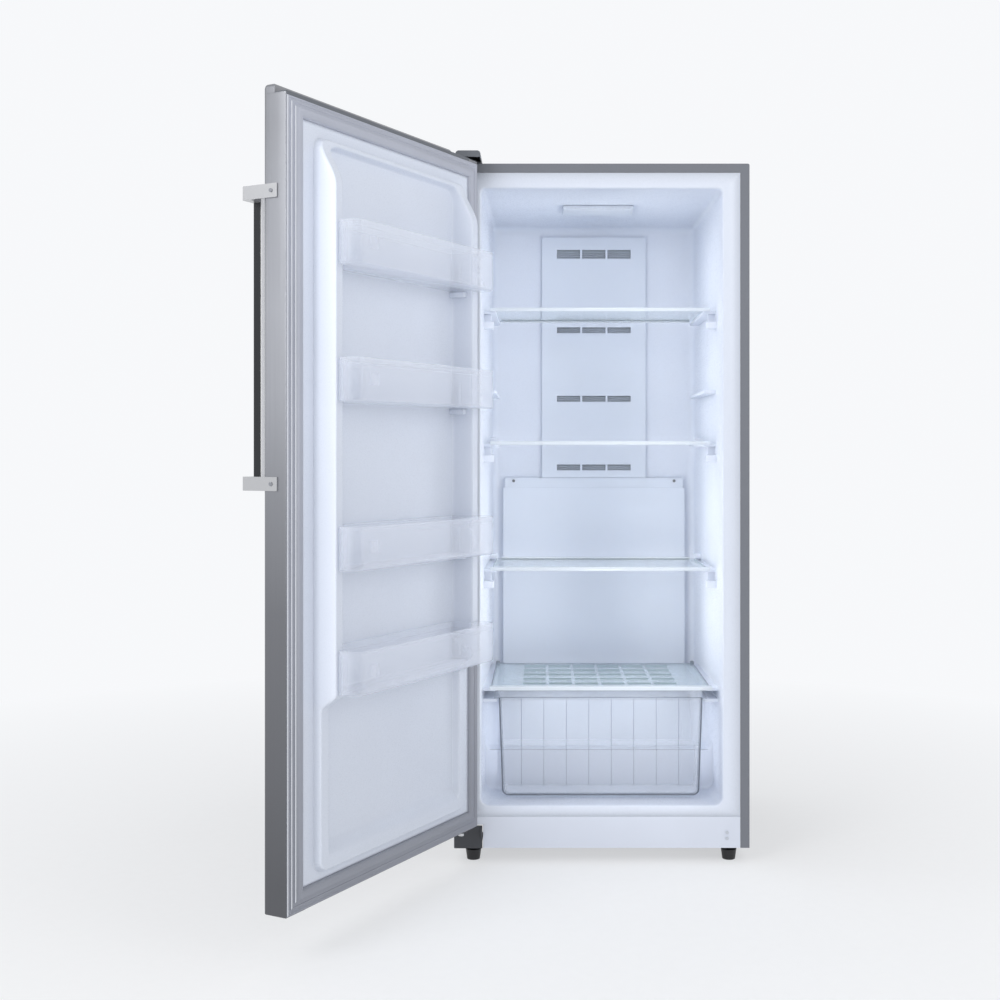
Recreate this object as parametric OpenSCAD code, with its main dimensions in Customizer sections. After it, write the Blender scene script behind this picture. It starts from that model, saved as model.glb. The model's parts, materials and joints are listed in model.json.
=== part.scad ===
// Upright single door refrigerator with its door open, in millimetres.
// Inside the modules X is measured from the middle of the cabinet and Y from its front plane.
// The finished model stands with the front left foot on the origin and its floor at Z = 0.

/* [Cabinet] */
// Width of the cabinet and of the door
cabinet_w = 710; // [660:1:780]
// Depth of the cabinet without the door
cabinet_d = 650; // [630:1:720]
// Height of the cabinet's top above the floor
cabinet_h = 1680; // [1640:1:1780]
// Height of the cabinet's underside above the floor
base_z = 36; // [32:1:42]
// Thickness of the steel sheet
sheet_t = 1; // [0.8:0.1:1.4]
// Radius of the cabinet's two long top edges
wrap_r = 4; // [3:0.5:8]
// Width of the steel flange round the front
flange_w = 22; // [16:1:26]
// Width of the turned-in edge at the back
back_flange_w = 12; // [8:1:16]
// Height of the kick panel
kick_h = 75; // [68:1:80]
// Depth of the kick panel
kick_d = 10; // [8:1:12]
// Wall of the kick panel
kick_t = 3; // [2:0.5:4]

/* [Food compartment] */
// Insulated thickness of each side at the front
side_wall = 65; // [55:1:75]
// Insulated thickness of the top at the front
top_wall = 60; // [50:1:75]
// Height of the compartment's floor above the room's floor
cavity_floor = 138; // [132:1:150]
// Depth of the compartment
cavity_d = 500; // [480:1:520]
// How far each side and the ceiling lean in from front to back
draft = 10; // [4:1:14]
// Thickness of the plastic liner
liner_t = 2; // [1.5:0.1:3]
// Radius of the liner's corners at the back
cavity_back_r = 22; // [12:1:30]
// Radius of the two lower corners of the mouth
mouth_bottom_r = 20; // [10:1:30]
// Radius of the two upper corners of the mouth
mouth_top_r = 12; // [6:1:20]
// Depth of the floor in front of the step over the machine space
step_front = 157; // [150:1:175]
// Height of the lower step above the floor
step_h = 101; // [90:1:110]
// Depth of the lower step's top
step_top_d = 57; // [40:1:64]
// Depth taken by the slope behind the lower step
slope_d = 116; // [100:1:130]
// Height of the upper step above the floor
hump_h = 192; // [180:1:200]
// Insulation between the steps and the machine space
hump_wall = 40; // [32:1:44]

/* [Air panels] */
// Height of the joint between the lower and the upper air panel
panel_join_z = 915; // [880:1:950]
// Width of the upper air panel
duct_w = 288; // [240:1:320]
// How far the upper panel stands in front of the back wall
duct_proud = 10; // [6:1:14]
// Wall of both air panels
panel_t = 2.5; // [2:0.1:3]
// Width of each vent
vent_w = 64; // [50:1:70]
// Bar between two vents
vent_bar = 6; // [4:1:10]
// Height of a vent in the lower three rows
vent_h = 16; // [10:1:20]
// Height of a vent in the top row
top_vent_h = 24; // [16:1:30]
// Distance between the lower rows of vents
vent_pitch = 190; // [170:1:196]
// Distance from the panel's lower edge to the first row
vent_rise = 29; // [24:1:40]
// Distance from the panel's upper edge to the top row
vent_drop = 47; // [36:1:60]
// Width of the lower air panel
evap_cover_w = 502; // [490:1:508]
// How far the lower panel stands in front of the back wall
evap_cover_proud = 15; // [12:1:20]
// Height of the screwed strip along its top
strip_h = 26; // [20:1:32]
// Distance between its two screws
cover_screw_pitch = 444; // [400:1:460]

/* [Shelves] */
// Distances of the shelves' upper faces below the cabinet's top, top shelf first
shelf_drop = [336, 666, 978];
// Distance of a shelf's front edge behind the cabinet's front
shelf_inset = 92; // [84:1:110]
// Depth of a shelf
shelf_d = 305; // [280:1:330]
// Gap between a shelf's end and the side wall at the mouth
shelf_gap = 18; // [14:1:24]
// Thickness of the glass
glass_t = 4; // [3:0.5:5]
// Height of a front trim
trim_h = 9; // [8:0.5:14]
// Depth of a front trim
trim_d = 18; // [14:1:24]
// Width of the moulded ledges under a shelf
ledge_in = 14; // [12:1:18]
// Height of a moulded ledge
ledge_h = 8; // [6:1:12]
// Distance of the spare ledge, which holds no shelf, below the cabinet's top
spare_ledge_drop = 540; // [500:1:560]

/* [Drawer] */
// Height of the drawer cover's upper face
cover_z = 413; // [405:1:425]
// Distance of the cover's front edge behind the cabinet's front
cover_inset = 50; // [42:1:60]
// Depth of the cover
cover_d = 369; // [340:1:380]
// Width of a slot in the cover
slot_w = 57; // [48:1:60]
// Depth of a slot in the cover
slot_d = 22; // [14:1:30]
// Distance of the drawer's front behind the cabinet's front
drawer_inset = 60; // [58:1:68]
// Gap between the drawer's side and the ends of the shelves
drawer_side_gap = 24; // [22:1:28]
// How much narrower the drawer is at the bottom, each side
drawer_taper = 9; // [4:1:12]
// Wall of the drawer
drawer_t = 3; // [2:0.5:4]
// Clearance under the drawer
drawer_lift = 11; // [9:1:14]
// Depth of the drawer at its top
drawer_d = 370; // [350:1:380]
// Radius of the drawer's lower corners
drawer_r = 14; // [8:1:20]
// Distance between the ribs on the drawer's front
rib_pitch = 55; // [45:1:60]

/* [Door] */
// Angle of the open door
door_open = 118; // [100:1:125]
// Height of the door's lower edge above the floor
door_z = 99; // [97:1:102]
// Gap between the door's back and the cabinet, filled by the gasket
door_gap = 10; // [9:0.5:12]
// Thickness of the door at its sides
door_t = 55; // [50:1:60]
// How far the curved front rises in the middle
crown = 12; // [6:1:18]
// Radius of the door's long front edges
door_edge_r = 8; // [5:0.5:12]
// Height of the plastic caps at the door's ends
cap_h = 12; // [10:1:16]
// Height of the raised lip along the front of the door's top
lip_h = 17; // [14:1:20]
// Thickness of that lip
lip_d = 28; // [24:1:30]
// Radius of the lip's upper edge at the back
lip_r = 9; // [4:1:12]
// Width of the steel turned over the door's back
door_flange_w = 60; // [56:1:66]
// Distance from the hinge's axis to the door's side
hinge_in = 20; // [18:1:24]
// Distance from the hinge's axis to the cabinet's front
hinge_out = 42; // [40:1:46]
// Radius of the hinge pins
pin_r = 4; // [3.5:0.1:5]
// Distance from the door's edge to the gasket
gasket_in = 17; // [16:1:20]
// Width of the gasket
gasket_w = 29; // [24:1:32]
// Height of the bottom hinge bracket's tongue above the floor
tongue_z = 86; // [84:1:88]
// Thickness of the hinge brackets
bracket_t = 4; // [3:0.5:5]
// Height of the top hinge's cover above the cabinet
hinge_cover_h = 19; // [18:1:30]

/* [Inside of the door] */
// Distance from the door's side to the raised rim
rim_in = 80; // [78:1:90]
// Width of the rim
rim_w = 37; // [32:1:44]
// Height of the rim over the door's back
rim_h = 18; // [14:1:20]
// Height of the two ridges that hold the bins
ridge_h = 53; // [46:1:56]
// Distance of the ridges' lower end below the cabinet's top
ridge_bottom_drop = 1201; // [1190:1:1230]
// Distance of the ridges' upper end below the cabinet's top
ridge_top_drop = 80; // [76:1:120]
// Length of the ridges' upper slope
ridge_slope = 90; // [60:1:100]
// Distances of the bins' undersides below the cabinet's top, top bin first
bin_drop = [328, 595, 925, 1167];
// Height of a bin
bin_h = 87; // [70:1:100]
// Wall of a bin
bin_t = 2.5; // [2:0.1:3.5]
// How far a bin stands in front of the ridges
bin_out = 50; // [40:1:52]
// How far a bin's front overhangs the ridges' inner faces at each end
bin_overhang = 27; // [16:1:30]
// Radius of a bin's front corners
bin_r = 20; // [10:1:26]

/* [Handle and display] */
// Length of the handle's bar
handle_l = 590; // [500:1:640]
// Side of the bar's square section
handle_s = 20; // [16:1:24]
// Distance of the bar's upper end below the cabinet's top
handle_drop = 178; // [120:1:240]
// Distance from the bar's middle to the door's side
handle_in = 40; // [34:1:50]
// Finger gap behind the bar
handle_gap = 28; // [24:1:36]
// Height of a handle bracket
mount_h = 27; // [22:1:32]
// Distance from a bracket's outer face to the bar's end
mount_in = 0.5; // [0:0.5:10]
// Thickness of a bracket's side plate
mount_t = 3; // [2.5:0.5:4]
// How far a bracket reaches back along the door's side
mount_back = 35; // [28:1:40]
// Width of the display window
display_w = 60; // [50:1:70]
// Height of the display window
display_h = 120; // [100:1:130]
// Distance of the window's upper edge below the cabinet's top
display_drop = 180; // [120:1:220]

/* [Feet and rollers] */
// Distance from the cabinet's middle to each foot
foot_x = 310; // [290:1:312]
// Distance from the cabinet's front to the feet
foot_y = 38; // [36:1:44]
// Radius of a foot at its top
foot_r = 19; // [16:1:21]
// Height of a foot's pad
foot_h = 25; // [20:1:27]
// Radius of a foot's screw
foot_screw_r = 5; // [4:0.5:6]
// Radius of a rear roller
roller_r = 20; // [18:0.5:22]
// Width of a rear roller
roller_w = 16; // [14:1:18]
// Distance from the cabinet's middle to each roller
roller_x = 300; // [285:1:310]
// Distance from the rollers to the cabinet's back
roller_back = 50; // [44:1:60]

/* [Machine space] */
// Radius of the compressor
compressor_r = 72; // [60:1:76]
// Height of the compressor's shell
compressor_h = 165; // [150:1:175]
// Radius of the tubes
tube_r = 4; // [3:0.5:5]
// Radius of the condenser fan
cond_fan_r = 56; // [48:1:58]
// Radius of the evaporator fan
evap_fan_r = 50; // [40:1:52]

/* [Hidden] */
$fn = 64;

// Clearances shared by the pieces
seat = 0.3;      // a piece on what carries it
run = 0.05;      // a pin or shaft in its bore
skin_gap = 0.2;  // foam beside a sheet
past = 1;        // how far a cut runs past what it cuts

half_w = cabinet_w / 2;
inner_hw = half_w - sheet_t;
fit_hw = inner_hw - seat;
kick_top = base_z + kick_h;
flange_hw = half_w - flange_w;
flange_top = cabinet_h - flange_w;
back_y = cabinet_d - sheet_t;
panel_y = back_y - sheet_t;

cavity_hw = half_w - side_wall;
cavity_back_hw = cavity_hw - draft;
cavity_top = cabinet_h - top_wall;
cavity_back_top = cavity_top - draft;
step_z = cavity_floor + step_h;
step_back = step_front + step_top_d;
slope_back = step_back + slope_d;
hump_z = cavity_floor + hump_h;

// The sheet between the insulation and the machine space
plate_front = kick_d + 2;
plate_z = cavity_floor - hump_wall + 2;
plate_shift = hump_wall * 0.35;
riser_y = step_front + hump_wall + 2;
ceiling_z = hump_z - hump_wall;
plate_line = [
    [plate_front, plate_z],
    [riser_y, plate_z],
    [riser_y, step_z - hump_wall],
    [step_back + plate_shift, step_z - hump_wall],
    [slope_back + plate_shift, ceiling_z],
    [panel_y - seat - sheet_t, ceiling_z]
];

// The pockets behind the air panels
pocket_hw = evap_cover_w / 2 - 9;
pocket_y = cavity_d + 90;
pocket_z0 = hump_z + cavity_back_r + 3;
pocket_z1 = panel_join_z - 10;
channel_hw = duct_w / 2 - 24;
channel_y = cavity_d + 26;
duct_z0 = panel_join_z + seat;
duct_z1 = cavity_back_top - cavity_back_r - 6;
channel_z1 = duct_z1 - 13;
evap_cover_y = cavity_d - evap_cover_proud;
evap_cover_z0 = hump_z + cavity_back_r + seat;
strip_step = 2;
strip_in = 5;
cover_screw_z = panel_join_z - 8;
screw_head_r = 4;

shelf_z = [for (drop = shelf_drop) cabinet_h - drop];
spare_ledge_z = cabinet_h - spare_ledge_drop;
shelf_hw = cavity_hw - shelf_gap;
glass_hw = shelf_hw - 6;
glass_drop = 1.5;
ledge_hw = shelf_hw - ledge_in;
rear_trim_d = 12;
rear_trim_hw = ledge_hw - 4;
ledge_back = shelf_inset + shelf_d + 30;
drawer_hw = shelf_hw - drawer_side_gap;
drawer_z0 = cavity_floor + drawer_lift;
drawer_z1 = cover_z - 9;
drawer_clear = 10;
runner_z = drawer_z1 - 23;
runner_hw = drawer_hw + 14;
runner_ledge_hw = drawer_hw + 6;
slot_cols = 6;
slot_rows = 5;
slot_pitch_x = slot_w + 8;
slot_pitch_y = slot_d + 45;

door_w = cabinet_w;
door_top_z = cabinet_h - 3;
door_back = -door_gap;
door_front = -door_gap - door_t;
crown_r = (pow(door_w / 2, 2) + pow(crown, 2)) / (2 * crown);
crown_y = door_front - crown + crown_r;
crown_steps = 40;
edge_steps = 8;
knee_x = door_w / 2 - door_edge_r;
knee_y = crown_y - sqrt(pow(crown_r - door_edge_r, 2) - pow(knee_x, 2));
hinge_x = -half_w + hinge_in;
hinge_y = -hinge_out;
hinge_cover_reach = 46;
hinge_cover_front = 16;
lip_x0 = hinge_x + norm([hinge_cover_reach, hinge_cover_front]) + 3;
door_liner_hw = door_w / 2 - gasket_in - gasket_w;
door_liner_z0 = door_z + gasket_in + gasket_w;
door_liner_z1 = door_top_z - gasket_in - gasket_w;
ridge_z0 = cabinet_h - ridge_bottom_drop;
ridge_z1 = cabinet_h - ridge_top_drop;
bin_z = [for (drop = bin_drop) cabinet_h - drop];
rim_hw = door_w / 2 - rim_in;
rim_inner_hw = rim_hw - rim_w;
rim_z0 = door_liner_z0 + 16;
rim_z1 = ridge_z1 + 6;
rim_r = 20;
gasket_face = -1;
bin_inner_hw = rim_inner_hw - 3;
bin_hw = rim_inner_hw + bin_overhang;
bin_back = door_back + liner_t + 2;
bin_seat = door_back + ridge_h + 1;
bin_front = bin_seat + bin_out;

handle_x = door_w / 2 - handle_in;
handle_surface = crown_y - sqrt(pow(crown_r, 2) - pow(handle_x, 2));
handle_y = handle_surface - handle_gap - handle_s / 2;
handle_top_z = cabinet_h - handle_drop;
handle_z0 = handle_top_z - handle_l;
display_t = 3.5;
display_front = door_front - crown - 0.6;
display_top_z = cabinet_h - display_drop;
display_z0 = display_top_z - display_h;

foot_plate_z = 50;
roller_y = cabinet_d - roller_back;
roller_slot_w = roller_w + 4;
roller_slot_l = 2 * roller_r + 6;
axle_r = 4;

base_top = base_z + 2;
base_front = riser_y + 16;
compressor_side = 165;
compressor_back = 169;
compressor_x = half_w - compressor_side;
compressor_y = back_y - compressor_back;
compressor_z = base_top + 23;
compressor_pipe_gap = 24;
mount_dx = 85;
mount_dy = 60;
mount_pad = 15;
control_w = 120;
control_d = 60;
control_h = 84;
control_y = back_y - 12 - control_d;
coil_side = 35;
coil_w = 250;
coil_gap = 30;
coil_x0 = -half_w + coil_side;
coil_x1 = coil_x0 + coil_w;
coil_y0 = base_front + coil_gap;
coil_y1 = control_y - 62;
coil_plate_h = 140;
coil_row = 30;
coil_cols = 7;
coil_col = (coil_w - 46) / (coil_cols - 1);
fan_margin = 15;
fan_frame_t = 3;
fan_arm_w = 8;
fan_motor_r = 20;
fan_shaft_r = 2.5;
fan_hub_r = 16;
fan_depth = 16;
fan_chord = 26;
fan_plate_hw = cond_fan_r - 6;
cond_motor_l = 36;
drip_pan_h = 30;
drip_pan_t = 2;
evap_motor_l = 34;
cond_fan_x = coil_x1 + 40;
cond_fan_y = (coil_y0 + coil_y1) / 2;
cond_fan_z = base_top + cond_fan_r + 26;
pipe_y = control_y + 18;
pipe_lift = 98;
terminal_w = 48;
terminal_h = 46;
terminal_lift = 50;
pipe_z = compressor_z + pipe_lift;
drier_l = 90;
drier_r = 10;
cover_slot_w = 80;
cover_slot_x = 90;
cover_slot_pitch = cover_slot_w + 20;
lamp_w = 180;
lamp_d = 90;
lamp_y = (cavity_d - lamp_d) / 2 - 10;
lamp_h = 15;
evap_z0 = pocket_z0 + 45;
evap_h = 240;
evap_z1 = evap_z0 + evap_h;
evap_gap = 25;
evap_d = 50;
evap_y0 = cavity_d + evap_gap;
evap_y1 = evap_y0 + evap_d;
evap_tube_pitch = 60;
evap_tube_gap = 24;
fin_pitch = 32;
evap_hw = pocket_hw - 42;
evap_fan_lift = 135;
evap_fan_z = evap_z1 + evap_fan_lift;
evap_fan_y = cavity_d + 15;
kick_screw_x = foot_x - 9;
kick_screw_drop = [38, 52];
low_vent_w = 44;
low_vent_h = 10;
low_vent_lift = 14;
low_vent_pitch = 60;
gland_x = -20;
gland_z = base_z + 44;

// Helpers

module block(x0, x1, y0, y1, z0, z1)
    translate([x0, y0, z0]) cube([x1 - x0, y1 - y0, z1 - z0]);

// A shape drawn in X and Z, drawn out from y0 to y1
module along_y(y0, y1)
    translate([0, y1, 0]) rotate([90, 0, 0]) linear_extrude(y1 - y0) children();

// A shape drawn in Y and Z, drawn out from x0 to x1
module along_x(x0, x1)
    translate([x0, 0, 0]) rotate([90, 0, 90]) linear_extrude(x1 - x0) children();

module both_sides() {
    children();
    mirror([1, 0, 0]) children();
}

// A rectangle with a radius for its lower and one for its upper corners
module panel_2d(hw, z0, z1, r0, r1) {
    translate([-hw + r0, z0]) square([2 * (hw - r0), z1 - z0 - r1]);
    translate([-hw, z0 + r0]) square([2 * hw, z1 - z0 - r0 - r1]);
    translate([-hw + r1, z0 + r0]) square([2 * (hw - r1), z1 - z0 - r0]);
    for (s = [-1, 1]) {
        translate([s * (hw - r0), z0 + r0]) circle(r = r0);
        translate([s * (hw - r1), z1 - r1]) circle(r = r1);
    }
}

module tube_to(a, b, r) {
    v = b - a;
    translate(a) rotate([0, acos(v.z / norm(v)), atan2(v.y, v.x)]) cylinder(r = r, h = norm(v));
}

// A bent tube: straight runs with round elbows
module pipe(points, r) {
    for (i = [0 : len(points) - 2]) tube_to(points[i], points[i + 1], r);
    for (i = [1 : len(points) - 2]) translate(points[i]) sphere(r = r);
}

// Puts the front left foot on the origin
module placed() translate([foot_x, -foot_y, 0]) children();

// Swings a piece of the closed door open about the hinge
module on_door()
    placed() translate([hinge_x, hinge_y, 0]) rotate([0, 0, -door_open])
        translate([-hinge_x, -hinge_y, 0]) children();

// Cabinet

module cabinet_shell() color("#4a4c52") placed() {
    along_y(0, cabinet_d) difference() {
        panel_2d(half_w, base_z, cabinet_h, 0.01, wrap_r);
        translate([0, -past]) panel_2d(inner_hw, base_z, cabinet_h - sheet_t + past, 0.01, wrap_r - 0.5);
    }
    along_y(0, sheet_t) difference() {
        panel_2d(inner_hw + sheet_t / 2, kick_top + seat, cabinet_h - sheet_t / 2, 0.01, wrap_r);
        panel_2d(flange_hw, kick_top, flange_top, 0.01, 0.01);
    }
    block(flange_hw, inner_hw + sheet_t / 2, 0, sheet_t, base_z, kick_top + 1);
    along_y(cabinet_d - sheet_t, cabinet_d) difference() {
        panel_2d(inner_hw + sheet_t / 2, base_z, cabinet_h - sheet_t / 2, 0.01, wrap_r);
        translate([-inner_hw + back_flange_w, base_z - past])
            square([2 * (inner_hw - back_flange_w), cabinet_h - back_flange_w - base_z + past]);
    }
}

module rear_panel() color("#8b8e93") placed()
    block(-fit_hw, fit_hw, panel_y, back_y, ceiling_z + seat, cabinet_h - sheet_t - wrap_r);

module bottom_plate() color("#9a9da1") placed() {
    under = [for (i = [len(plate_line) - 1 : -1 : 0]) plate_line[i] + [sheet_t, -sheet_t]];
    along_x(-fit_hw, fit_hw) polygon(concat(plate_line, under));
}

// The compartment's space with its walls moved out by t
module cavity_form(t) {
    r = cavity_back_r + t;
    d = cavity_d + t;
    hf = cavity_hw + t;
    hb = cavity_back_hw + t;
    zt = cavity_top + t;
    zb = cavity_back_top + t;
    zh = hump_z - t;
    intersection() {
        linear_extrude(cabinet_h) {
            polygon([[-hf, -past], [hf, -past], [hf, 0], [hb, d - r], [hb - r, d],
                     [-hb + r, d], [-hb, d - r], [-hf, 0]]);
            for (s = [-1, 1]) translate([s * (hb - r), d - r]) circle(r = r);
        }
        along_x(-half_w, half_w) {
            polygon([[-past, cavity_floor - t], [step_front + t, cavity_floor - t],
                     [step_front + t, step_z - t], [step_back + t / 2, step_z - t],
                     [slope_back + t / 2, zh], [d - r, zh], [d, zh + r],
                     [d, zb - r], [d - r, zb], [0, zt], [-past, zt]]);
            translate([d - r, zb - r]) circle(r = r);
            translate([d - r, zh + r]) circle(r = r);
        }
        along_y(-past, d)
            panel_2d(hf, cavity_floor - t, zt, mouth_bottom_r + t, mouth_top_r + t);
    }
}

// The compartment with the pockets behind the air panels
module liner_form(t) {
    cavity_form(t);
    block(-pocket_hw - t, pocket_hw + t, cavity_d - 5, pocket_y + t, pocket_z0 - t, pocket_z1 + t);
    block(-channel_hw - t, channel_hw + t, cavity_d - 5, channel_y + t,
          pocket_z1 - 5, channel_z1 + t);
}

// The moulded ledges and lugs on both side walls
module ledges() {
    wall = cavity_hw + liner_t;
    both_sides() {
        for (z = shelf_z) {
            bottom = z - glass_drop - glass_t - seat;
            block(ledge_hw, wall, shelf_inset + trim_d + seat, ledge_back, bottom - ledge_h, bottom);
            block(glass_hw - 3, wall, ledge_back - 60, ledge_back - 30,
                  z - glass_drop + seat, z + 12);
            block(glass_hw - 3, wall, shelf_inset + 4, shelf_inset + 28, z - 52, z - 34);
        }
        block(ledge_hw, wall, shelf_inset + trim_d + seat, ledge_back,
              spare_ledge_z - ledge_h, spare_ledge_z);
        bottom = cover_z - glass_t - seat;
        block(ledge_hw, wall, cover_inset + trim_d + seat, cover_inset + cover_d + 10,
              bottom - ledge_h, bottom);
        block(runner_ledge_hw, wall, drawer_inset + 12, drawer_inset + drawer_d + 6,
              runner_z - seat - ledge_h, runner_z - seat);
    }
}

module inner_liner() color("#e4e8f0") placed() {
    difference() {
        union() {
            along_y(0, liner_t)
                panel_2d(flange_hw - seat, kick_top + seat, flange_top - seat, 0.01, 0.01);
            intersection() {
                liner_form(liner_t);
                block(-half_w, half_w, 0, cabinet_d, 0, cabinet_h);
            }
        }
        liner_form(0);
    }
    intersection() {
        cavity_form(liner_t / 2);
        ledges();
    }
}

module insulation_foam() color("#e6d9a8") placed() difference() {
    along_x(-inner_hw + skin_gap, inner_hw - skin_gap) polygon([
        [plate_front, plate_z + skin_gap],
        [riser_y - skin_gap, plate_z + skin_gap],
        [riser_y - skin_gap, step_z - hump_wall + skin_gap],
        [step_back + plate_shift - skin_gap, step_z - hump_wall + skin_gap],
        [slope_back + plate_shift - skin_gap, ceiling_z + skin_gap],
        [panel_y - skin_gap, ceiling_z + skin_gap],
        [panel_y - skin_gap, cabinet_h - sheet_t - wrap_r],
        [liner_t + skin_gap, cabinet_h - sheet_t - wrap_r],
        [liner_t + skin_gap, kick_top + 2],
        [plate_front, kick_top + 2]
    ]);
    liner_form(liner_t + skin_gap);
}

module kick_panel() color("#dfe3ec") placed() difference() {
    right_hw = flange_hw - seat;
    block(-fit_hw, right_hw, 0, kick_d, base_z, kick_top);
    block(-fit_hw + kick_t, right_hw - kick_t, kick_t, kick_d + past, base_z + kick_t, kick_top - kick_t);
    block(-half_w, -foot_x + 25, -past, kick_d + past, base_z - past, tongue_z + bracket_t + 2);
    for (drop = kick_screw_drop)
        translate([kick_screw_x, -past, kick_top - drop]) rotate([-90, 0, 0])
            cylinder(r = 2.2, h = kick_d);
}

// Machine space

module roller_slots() both_sides()
    translate([roller_x - roller_slot_w / 2, roller_y - roller_slot_l / 2, base_z - 5])
        cube([roller_slot_w, roller_slot_l, 12]);

module machine_base() color("#6e7176") placed() difference() {
    union() {
        block(-fit_hw, fit_hw, base_front, panel_y - seat, base_z, base_top);
        block(-fit_hw, fit_hw, base_front, base_front + 2, base_z, base_z + 22);
    }
    roller_slots();
}

module compressor() color("#1d1e20") placed() translate([compressor_x, compressor_y, compressor_z]) {
    dome_r = compressor_r + 28;
    rotate_extrude() intersection() {
        square([compressor_r, compressor_h]);
        translate([0, compressor_h - dome_r]) circle(r = dome_r);
        translate([0, dome_r]) circle(r = dome_r);
    }
    translate([0, 0, compressor_h / 2]) cylinder(r = compressor_r + 4, h = 4);
    difference() {
        translate([-mount_dx - mount_pad, -mount_dy - mount_pad, -3])
            cube([2 * (mount_dx + mount_pad), 2 * (mount_dy + mount_pad), 4]);
        for (x = [-mount_dx, mount_dx], y = [-mount_dy, mount_dy])
            translate([x, y, -4]) cylinder(r = 6, h = 6);
    }
    translate([-terminal_w / 2, -compressor_r - 22, terminal_lift]) cube([terminal_w, 40, terminal_h]);
}

module compressor_mounts() color("#2b2c2e") placed()
    for (x = [-mount_dx, mount_dx], y = [-mount_dy, mount_dy])
        translate([compressor_x + x, compressor_y + y, base_top + skin_gap]) {
            cylinder(r = 12, h = compressor_z - 3 - base_top - 2 * skin_gap);
            cylinder(r = 5.5, h = compressor_z - base_top + 8);
        }

module condenser_coil() color("#2f3134") placed() {
    for (y = [coil_y0, coil_y1 - 2])
        block(coil_x0, coil_x1, y, y + 2, base_top + skin_gap, base_top + coil_plate_h);
    for (i = [0 : coil_cols - 1], k = [0 : 2])
        translate([coil_x0 + 23 + coil_col * i, coil_y0 + 1, base_top + coil_plate_h - 80 + coil_row * k])
            rotate([-90, 0, 0]) cylinder(r = 3.5, h = coil_y1 - coil_y0 - 2);
}

// A fan frame in X and Z with its motor behind it on four arms
module fan_frame(r, side, motor_l) {
    rotate([90, 0, 0]) translate([0, 0, -fan_frame_t]) {
        linear_extrude(fan_frame_t) difference() {
            square([side, side], center = true);
            circle(r = r + 5);
        }
        for (a = [45 : 90 : 315]) rotate([0, 0, a])
            translate([10, -fan_arm_w / 2, 0]) cube([r, fan_arm_w, fan_frame_t]);
    }
    rotate([-90, 0, 0]) cylinder(r = fan_motor_r, h = motor_l);
    translate([0, -fan_depth - 12, 0]) rotate([-90, 0, 0]) cylinder(r = fan_shaft_r, h = fan_depth + 14);
}

// A five-bladed fan about the Y axis, in front of its frame
module fan_blade(r) rotate([90, 0, 0]) difference() {
    union() {
        cylinder(r = fan_hub_r, h = fan_depth);
        intersection() {
            for (a = [0 : 72 : 288]) rotate([0, 0, a])
                translate([fan_hub_r - 4, 0, fan_depth / 2]) rotate([32, 0, 0])
                    translate([0, -fan_chord / 2, -1]) cube([r, fan_chord, 2]);
            cylinder(r = r, h = fan_depth);
        }
    }
    translate([0, 0, -past]) cylinder(r = fan_shaft_r + run, h = fan_depth + 2 * past);
}

module condenser_fan_frame() color("#3a3b3e") placed() {
    translate([cond_fan_x, cond_fan_y, cond_fan_z]) rotate([0, 0, -90])
        fan_frame(cond_fan_r, 2 * (cond_fan_r + fan_margin), cond_motor_l);
    block(cond_fan_x, cond_fan_x + 3, cond_fan_y - fan_plate_hw, cond_fan_y + fan_plate_hw,
          base_top + skin_gap, cond_fan_z - cond_fan_r - fan_margin + 1);
}

module condenser_fan_blade() color("#d9dadc") placed()
    translate([cond_fan_x - 8, cond_fan_y, cond_fan_z]) rotate([0, 0, -90]) fan_blade(cond_fan_r);

module drip_pan() color("#c9cbd0") placed() difference() {
    x0 = coil_x0 + 10;
    x1 = coil_x1 - 10;
    y0 = coil_y0 + 8;
    y1 = coil_y1 - 8;
    block(x0, x1, y0, y1, base_top + skin_gap, base_top + drip_pan_h);
    block(x0 + drip_pan_t, x1 - drip_pan_t, y0 + drip_pan_t, y1 - drip_pan_t,
          base_top + drip_pan_t + 1, base_top + drip_pan_h + past);
}

module refrigerant_tubes() color("#b06a3c") placed() {
    coil_mid = (coil_x0 + coil_x1) / 2;
    riser_x = compressor_x + compressor_r + compressor_pipe_gap;
    neck = drier_r + tube_r;
    pipe([[compressor_x, compressor_y + compressor_r + seat, pipe_z],
          [compressor_x, pipe_y, pipe_z],
          [coil_mid, pipe_y, pipe_z],
          [coil_mid, coil_y1 + seat, pipe_z]], tube_r);
    translate([coil_mid + 60, pipe_y, pipe_z]) rotate([0, 90, 0]) {
        cylinder(r = drier_r, h = drier_l);
        translate([0, 0, -neck]) cylinder(r1 = tube_r, r2 = drier_r, h = neck);
        translate([0, 0, drier_l]) cylinder(r1 = drier_r, r2 = tube_r, h = neck);
    }
    pipe([[compressor_x + compressor_r + seat, compressor_y, pipe_z],
          [riser_x, compressor_y, pipe_z],
          [riser_x, compressor_y, ceiling_z - sheet_t - seat]], tube_r);
}

module control_box() color("#d5d7db") placed() {
    x0 = coil_x1 - 90;
    x1 = x0 + control_w;
    y1 = control_y + control_d;
    block(x0, x1, control_y, y1, base_top + skin_gap, base_top + control_h);
    block(x0 - 2, x1 + 2, control_y - 2, y1 + 2, base_top + control_h - 24, base_top + control_h - 18);
}

module machine_cover() color("#3b3c3f") placed() difference() {
    block(-fit_hw, fit_hw, panel_y, back_y, base_z, ceiling_z - seat);
    both_sides() for (row = [0 : 5], x = [cover_slot_x, cover_slot_x + cover_slot_pitch])
        block(x, x + cover_slot_w, panel_y - past, back_y + past,
              base_z + 60 + 26 * row, base_z + 68 + 26 * row);
    translate([gland_x, panel_y - past, gland_z]) rotate([-90, 0, 0]) cylinder(r = 9.2, h = 4);
}

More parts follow.
